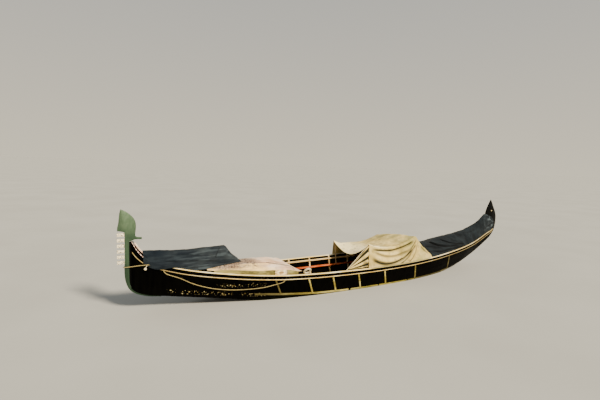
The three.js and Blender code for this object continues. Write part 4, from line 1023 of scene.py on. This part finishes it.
# Seat cover: its two walls stand on the gunwales, its top sags between four corners
seatSet = {"rows": [  # x, height at the port corner, at the starboard corner, and of the slack middle
    (3.6, 0.612, 0.612, 0.705), (3.85, 0.765, 0.715, 0.8), (4.08, 0.96, 0.85, 0.99),
    (4.27, 1.128, 0.95, 1.064), (4.45, 1.05, 0.895, 1.042), (4.7, 0.975, 0.83, 0.965),
    (5.0, 0.935, 0.79, 0.885), (5.3, 0.94, 0.79, 0.812), (5.56, 0.985, 0.815, 0.742),
    (5.73, 1.055, 0.872, 0.672)],
    "folds": [
        ([(5.666, 0.8, 0.981), (5.555, 0.802, 0.95), (5.313, 0.802, 0.912), (5.065, 0.8, 0.898),
          (4.775, 0.792, 0.934), (4.511, 0.783, 1.003), (4.292, 0.774, 1.089)], 0.046, 0.03, 1.0),
        ([(5.637, 0.804, 0.943), (5.466, 0.81, 0.856), (5.255, 0.815, 0.781), (5.004, 0.813, 0.758),
          (4.745, 0.805, 0.794), (4.478, 0.793, 0.892), (4.265, 0.775, 1.045)], 0.05, 0.022, 0.6),
        ([(5.65, 0.817, 0.793), (5.497, 0.824, 0.699), (5.256, 0.83, 0.619), (5.005, 0.826, 0.618),
          (4.746, 0.816, 0.676), (4.511, 0.8, 0.798), (4.308, 0.785, 0.951)], 0.068, 0.038, 1.0),
        ([(4.813, 0.831, 0.528), (4.645, 0.82, 0.594), (4.442, 0.802, 0.743), (4.272, 0.781, 0.973)],
         0.04, 0.024, 0.9),
        ([(4.509, 0.819, 0.544), (4.373, 0.808, 0.64), (4.269, 0.793, 0.801), (4.214, 0.772, 1.004)],
         0.04, 0.022, 0.9),
        ([(4.779, 0.821, 0.626), (4.612, 0.808, 0.73), (4.471, 0.795, 0.86), (4.359, 0.784, 0.972),
          (4.242, 0.769, 1.082)], 0.048, 0.026, 1.0),
        ([(4.1, 0.7, 0.9), (3.867, 0.744, 0.758), (3.72, 0.76, 0.66)], 0.03, 0.014, 0.5)],
    "ripples": [(0.4, 0.006, 41), (0.12, 0.0022, 42)], "rippleShade": 0.28, "fade": (3, 4, 0.15), "limits": (-0.026, 0.04),
    "lean": 0.046}  # how far in the walls' heads are
seatPort, seatStar, seatTop = curvesOf(seatSet["rows"])
seatHem = smoothCurve([(3.6, -0.003), (3.9, -0.003), (4.08, 0.006)])


def seatRow(x):
    b, c, hem, lean = rim(x, 1), rim(x, -1), seatHem(x), seatSet["lean"]
    z0, port, star = sheer(x) + restGap, seatPort(x), seatStar(x)
    row = [(x, b - hem - k * (lean - hem), z0 + (port - z0) * k) for k in np.linspace(0, 1, 50)]
    for k in np.linspace(0, 1, 66)[1:-1]:
        sag = (seatTop(x) - (port + star) / 2) * math.sin(math.pi * k) ** 0.9
        row.append((x, b - lean - k * (b + c - 2 * lean), port + (star - port) * k + sag))
    return row + [(x, -(c - hem) + k * (lean - hem), z0 + (star - z0) * k) for k in np.linspace(1, 0, 30)]


seatGrid = np.array([seatRow(x) for x in np.linspace(3.6, 5.73, 210)])
makeCover("coverSeat", seatGrid, seatSet, beigeCanvas, "beige_canvas", ["cover_mid"])

# The seat cover's loose corner, drawn out along the tie: folds fan out from its foot, raised and sunk, with painted
# shade in the sunk ones
flapSet = {"folds": [], "ripples": [(0.3, 0.002, 51)], "rippleShade": 0.6, "fade": (3, 3, 0.0), "limits": (-0.018, 0.022),
           "foot": (6.31, 0.53), "darkAt": 6.7, "apart": 14.0, "deep": 0.012}


def flapFan(grid):
    back, up = flapSet["foot"][0] - grid[..., 0], grid[..., 2] - flapSet["foot"][1]
    turn = np.degrees(np.arctan2(up, back)) - flapSet["darkAt"]
    wave = np.cos(2 * math.pi * turn / flapSet["apart"])
    reach = np.clip(np.hypot(back, up) / 0.3, 0, 1)
    return -flapSet["deep"] * wave * reach, np.clip(wave * 1.8 + 0.4, 0, 1) * np.clip(reach * 2.2, 0, 1)


flapSet["fan"] = flapFan


def flapRow(t):
    row = []
    for k in np.linspace(0, 1, 64):
        x0, x1 = 5.7305 + 0.01 * t, 5.734 + 0.575 * t
        z = 1.036 - (1.036 - float(sheer(6.3)) - 0.014) * t - 0.008 * k
        y = peakY + (footY - peakY) * t * k + 0.02 * t * (1 - k) + 0.012 * t * math.sin(math.pi * k)
        row.append((x0 + (x1 - x0) * k, y, z))
    return row


flapGrid = np.array([flapRow(t) for t in np.linspace(0.06, 0.97, 72)])
makeCover("coverFlap", flapGrid, flapSet, beigeCanvas, "beige_canvas", ["cover_flap"])

# Fore cover: its port edge lies on the washboard, a ridge runs beside that, the top falls away to starboard
foreSet = {"rows": [  # x, ridge, middle, how far to port the ridge is, low edge
    (7.4, 0.588, 0.59, 0.48, 0.565), (7.55, 0.648, 0.645, 0.462, 0.6), (7.75, 0.694, 0.704, 0.44, 0.64),
    (8.05, 0.76, 0.768, 0.41, 0.69), (8.3, 0.788, 0.79, 0.39, 0.71), (8.62, 0.78, 0.792, 0.35, 0.73),
    (9.0, 0.768, 0.8, 0.3, 0.758), (9.28, 0.782, 0.812, 0.262, 0.775)],
    "folds": [
        ([(7.46, 0.4, 0.62), (7.75, 0.36, 0.7), (8.05, 0.3, 0.765), (8.35, 0.24, 0.79)], 0.03, 0.01, 0.4),
        ([(7.6, 0.49, 0.63), (7.85, 0.46, 0.7), (8.15, 0.42, 0.75), (8.45, 0.4, 0.765)], 0.022, 0.007, 0.5),
        ([(7.43, 0.12, 0.6), (7.75, 0.05, 0.71), (8.1, 0.02, 0.78), (8.5, 0.08, 0.8)], 0.03, 0.01, 0.3),
        ([(8.33, 0.5, 0.71), (8.38, 0.44, 0.76), (8.44, 0.34, 0.79)], 0.024, 0.008, 0.5)],
    "ripples": [(0.36, 0.004, 21), (0.11, 0.0016, 22)], "rippleShade": 0.2, "fade": (4, 5, 0.2), "limits": (-0.008, 0.012),
    "calm": lambda grid: np.clip((8.75 - grid[..., 0]) / 0.15, 0.1, 1)}
foreRidge, foreMiddle, foreRidgeY, foreLow = curvesOf(foreSet["rows"])


def foreRow(x):
    b, c = (rim(x, s) - 0.0394 for s in (1, -1))
    z0 = sheer(x) + washUp(x) + restGap
    ridge, r, q = foreRidge(x), foreRidgeY(x), c * 0.6
    low = max(foreLow(x), z0 + 0.014)
    crown = foreMiddle(x) - (ridge + low) / 2
    row = [(x, b + (r - b) * t, z0 + (ridge - z0) * t ** 0.8) for t in (0, 1 / 3, 2 / 3)]
    row += [(x, r - (r + q) * t, ridge + (low - ridge) * t + crown * math.sin(math.pi * t))
            for t in np.linspace(0, 1, 6)]
    return row + [(x, -q - (c - q) * t, low + (z0 - low) * t * t) for t in (1 / 3, 2 / 3, 1)]


def onForeCover(x, y):
    row = np.array(foreRow(min(x, 9.28)))[::-1]
    return np.interp(y, row[:, 1], row[:, 2])


foreGrid = np.array([fineRow(foreRow(x), np.linspace(0, 1, 110)) for x in np.linspace(7.4, 9.28, 190)])
makeCover("coverFore", foreGrid, foreSet, paleCanvas, "pale_canvas", ["cover_fore"])
lashRoute = [(8.085, 0.41), (7.95, 0.425), (7.8, 0.44), (7.68, 0.452), (7.59, 0.46)]
lashRoute = [(x, y, float(onForeCover(x, y)) + 0.013) for x, y in lashRoute]
lashRoute += [(7.556, 0.595, 0.652), (7.535, 0.655, 0.6), (7.5, 0.682, float(sheer(7.5)) + 0.006)]
makePiece("foreCoverLashing", *laidRope(lashRoute, 0.0045, 0.03, 10, 6), darkRope, "rope")


# Tents between the gunwales
def tentRow(rows, x, count=97):
    top, full = curvesOf(rows)
    k = np.linspace(-1, 1, count)  # -1 is the port gunwale
    y = np.where(k < 0, -k * (rim(x, 1) - hemIn), -k * (rim(x, -1) - hemIn))
    z0 = sheer(x) + restGap
    h = np.maximum(np.cos(np.abs(k) * math.pi / 2), 0) ** full(x)
    return np.stack([np.full(count, x), y, z0 + (top(x) - z0) * h], 1)


def calmBow(grid):
    x, high = grid[..., 0], grid[..., 2] - sheer(grid[..., 0])
    return np.clip((x - 8.56) / 0.5, 0.25, 1) * np.where(x > 9.5, np.clip(high / 0.06, 0, 1), 1)


bowSet = {"rows": [(8.56, 0.826, 0.5), (8.68, 0.925, 0.7), (8.86, 1.108, 1.3), (9.18, 1.092, 1.4), (9.52, 1.082, 1.4),
    (10.08, 1.098, 1.1), (10.38, 1.12, 0.9)], "folds": [([(10.062, 0.118, 0.942), (9.712, 0.173, 0.911),
    (9.389, 0.199, 0.898), (9.068, 0.195, 0.878), (8.939, 0.186, 0.882)], 0.03, 0.014, 0.5),
    ([(10.025, 0.163, 0.859), (9.723, 0.223, 0.828), (9.546, 0.261, 0.8), (9.41, 0.28, 0.791)], 0.026, 0.01, 0.3),
    ([(9.9, 0.094, 1.017), (9.605, 0.109, 1.017), (9.327, 0.147, 0.978)], 0.026, 0.008, 0.2),
    ([(10.378, 0.036, 1.092), (10.293, 0.078, 0.977)], 0.014, 0.006, 0.3),
    ([(8.932, 0.028, 1.074), (8.998, 0.128, 0.995), (9.066, 0.19, 0.889)], 0.022, 0.008, 0.4)],
    "ripples": [(0.42, 0.005, 11), (0.13, 0.002, 12)], "rippleShade": 0.2, "fade": (4, 6, 0.15), "limits": (-0.008, 0.018),
    "calm": calmBow}
bowLap = {"from": 9.45, "clear": 0.019, "in": smoothCurve([(8.56, 0.5), (8.75, 0.57), (9.0, 0.7), (9.2, 0.84),
    (9.45, 1)]), "deep": smoothCurve([(9.78, 0.0), (9.86, 0.01), (10.04, 0.08), (10.15, 0.118), (10.24, 0.13)])}


def lapOver(x, s):
    # the hem's way down from the cap's edge, outside the cap and the rail
    b, z0 = rim(x, s), sheer(x)
    way = [(b + 0.0105, z0 + 0.0008), (b + 0.014, z0 - 0.004), (b + 0.0148, z0 - 0.03)]
    way += [(hullSide(x, z0 - d, s) + 0.0215, z0 - d) for d in (0.075, 0.1, 0.13)]
    return np.array([(x, s * y, z) for y, z in way])


def bowRow(x):
    row = tentRow(bowSet["rows"], x)
    deep = bowLap["deep"](x)
    if deep > 0.001:
        fine = [evenly(np.concatenate([row[:1] if s > 0 else row[-1:], lapOver(x, s)]), 60) for s in (1, -1)]
        port, star = (side[side[:, 2] > sheer(x) + 0.001 - deep] for side in fine)
        row = np.concatenate([port[::-1], row[1:-1], star])
    row = evenly(row, 97)
    if x < bowLap["from"]:  # here the edges leave the gunwales and lie on the fore cover
        row[:, 1] *= bowLap["in"](x)
        row[:, 2] = np.maximum(row[:, 2], onForeCover(x, row[:, 1]) + bowLap["clear"])
    return row


bowGrid = np.array([bowRow(x) for x in np.linspace(8.56, 10.38, 190)])
makeCover("coverBow", bowGrid, bowSet, navyCanvas, "navy_canvas", ["cover_bow"])

# Stern cover: a tent whose after end is wrapped round the stern post
sternSet = {"rows": [(0.56, 1.452, 1.0), (0.85, 1.24, 1.1), (1.04, 1.16, 1.2), (1.6, 0.99, 1.2), (2.33, 0.89, 1.0),
    (3.4, 0.705, 0.9), (3.86, 0.618, 0.9)], "wrap": [(0.501, 1.458, 0), (0.497, 1.45, 0.017), (0.38, 1.425, 0.017),
    (0.23, 1.37, 0.017), (0.1, 1.27, 0.017), (0.06, 1.12, 0.017)], "folds": [([(2.945, 0.026, 0.79),
    (2.97, 0.163, 0.771), (2.92, 0.322, 0.74), (2.665, 0.417, 0.718), (2.401, 0.421, 0.721), (2.17, 0.404, 0.724)],
    0.044, 0.03, 1.0), ([(2.595, 0.092, 0.844), (2.584, 0.2, 0.821), (2.512, 0.284, 0.796), (2.341, 0.37, 0.755),
    (2.153, 0.389, 0.734), (1.864, 0.389, 0.713)], 0.034, 0.022, 1.0),
    ([(3.371, 0.444, 0.653), (3.17, 0.545, 0.637), (2.793, 0.528, 0.657), (2.242, 0.463, 0.684),
    (1.833, 0.425, 0.68)], 0.042, 0.022, 1.0), ([(0.707, 0.104, 1.009), (0.369, 0.057, 1.115), (0.083, 0.022, 1.207)],
    0.024, 0.01, 0.8), ([(0.693, 0.12, 0.909), (0.324, 0.059, 1.019)], 0.024, 0.01, 0.5),
    ([(3.6, 0.1, 0.66), (3.2, 0.3, 0.69), (2.95, 0.44, 0.66)], 0.03, 0.01, 0.5),
    ([(1.7, 0.1, 0.95), (1.2, 0.14, 1.02), (0.8, 0.1, 1.15)], 0.028, 0.01, 0.4)],
    "ripples": [(0.45, 0.005, 31), (0.14, 0.0018, 32)], "rippleShade": 0.5, "fade": (5, 5, 0.2), "limits": (-0.016, 0.03),
    "calm": lambda grid: np.clip((grid[..., 0] - 0.1) / 0.5, 0.3, 1)}


def wrapRow(t):
    row = tentRow(sternSet["rows"], 0.56, 13)
    for j in range(13):
        s = 1 if j < 6 else -1
        if j in (0, 12):
            x = 0.56 + (0.125 - 0.56) * t
            row[j] = (x, s * (rim(x, s) - hemIn), sheer(x) + restGap)
        else:
            x, z, y = sternSet["wrap"][abs(j - 6)]
            row[j] += (np.array([x, s * y, z]) - row[j]) * t
    return fineRow(row, np.linspace(0, 1, 97))


sternGrid = [wrapRow(t) for t in np.linspace(1, 0, 40)[:-1]]
sternGrid = np.array(sternGrid + [tentRow(sternSet["rows"], x) for x in np.linspace(0.56, 3.86, 250)])
makeCover("coverStern", sternGrid, sternSet, slateCanvas, "slate_canvas", ["cover_stern"])
print("stage: covers")


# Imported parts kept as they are, with their finishes
keptParts = {"bottom_planking": hullPaint, "foredeck": hullPaint, "afterdeck": hullPaint, "fore_bulkhead": floorWood,
    "aft_bulkhead": floorWood, "floorboards_aft": floorWood, "floorboards_fore": floorWood, "seat_base": seatWood,
    "seat_back": seatWood}
for name, material in keptParts.items():
    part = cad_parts[name]
    if not part.material_slots:
        part.data.materials.append(material)
    for place in part.material_slots:
        place.material = material

# Floor at the waterline, open inside the hull, that runs on until it meets a sky as pale as itself
floorSet = {"inner": 0.01, "spread": (0.0, 0.001, 0.004, 0.015, 0.06, 0.25, 1.0), "reach": 500.0}
xs = np.linspace(2.0, 9.0, 1401)
wet = xs[bottom(xs) < 0]
line = np.linspace(wet[0], wet[-1], 60)
hole = [(x, hullSide(x, 0.0, 1) - floorSet["inner"]) for x in line]
hole = np.array(hole + [(x, -hullSide(x, 0.0, -1) + floorSet["inner"]) for x in line[::-1]])
away = hole - hole.mean(0)
angle = np.arctan2(away[:, 1] * 3, away[:, 0])
around = np.stack([np.cos(angle), np.sin(angle)], 1)
rounds = [hole * (1 - k) + (hole.mean(0) + floorSet["reach"] * around) * k for k in floorSet["spread"]]
floorVerts = [(x, y, 0.0) for places in rounds for x, y in places]
n, floorFaces = len(hole), []
for r in range(len(rounds) - 1):
    for j in range(n):
        a, b = r * n + j, r * n + (j + 1) % n
        floorFaces.append((a, a + n, b + n, b))
floorMesh = bpy.data.meshes.new("studioFloor")
floorMesh.from_pydata((np.array(floorVerts) + toFrame).tolist(), [], floorFaces)
floorMesh.shade_smooth()
floorMesh.materials.append(studioPaint())
intoScene("studioFloor", floorMesh)
print("stage: floor")

# Light: a broad high key over the port side, a little astern, and a pale sky all round
lightSet = {"from": (-0.35, 0.94), "height": 41, "strength": 7.6, "spread": 12, "tint": "#ffefd4",
            "horizon": "#eee4cc", "sky": "#afb2b4", "horizonHigh": 0.6}
lampData = bpy.data.lights.new("keyLight", "SUN")
lampData.energy, lampData.angle = lightSet["strength"], math.radians(lightSet["spread"])
lampData.color = linearColour(lightSet["tint"])[:3]
keyLamp = intoScene("keyLight", lampData)
aim = Vector((-lightSet["from"][0], -lightSet["from"][1], -math.tan(math.radians(lightSet["height"]))))
keyLamp.matrix_world = Matrix.Translation((-3.0, 8.0, 7.0)) @ aim.to_track_quat("-Z", "Y").to_matrix().to_4x4()
world = bpy.data.worlds.new("paleSky")
world.use_nodes = True
upward = fades(world, addNode(world, "TexCoord", {}, "Generated"), 2, 0.0, lightSet["horizonHigh"])
world.node_tree.links.new(layered(world, lightSet["horizon"], [(upward, lightSet["sky"])]),
                          world.node_tree.nodes["Background"].inputs[0])
bpy.context.scene.world = world
print("stage: light")
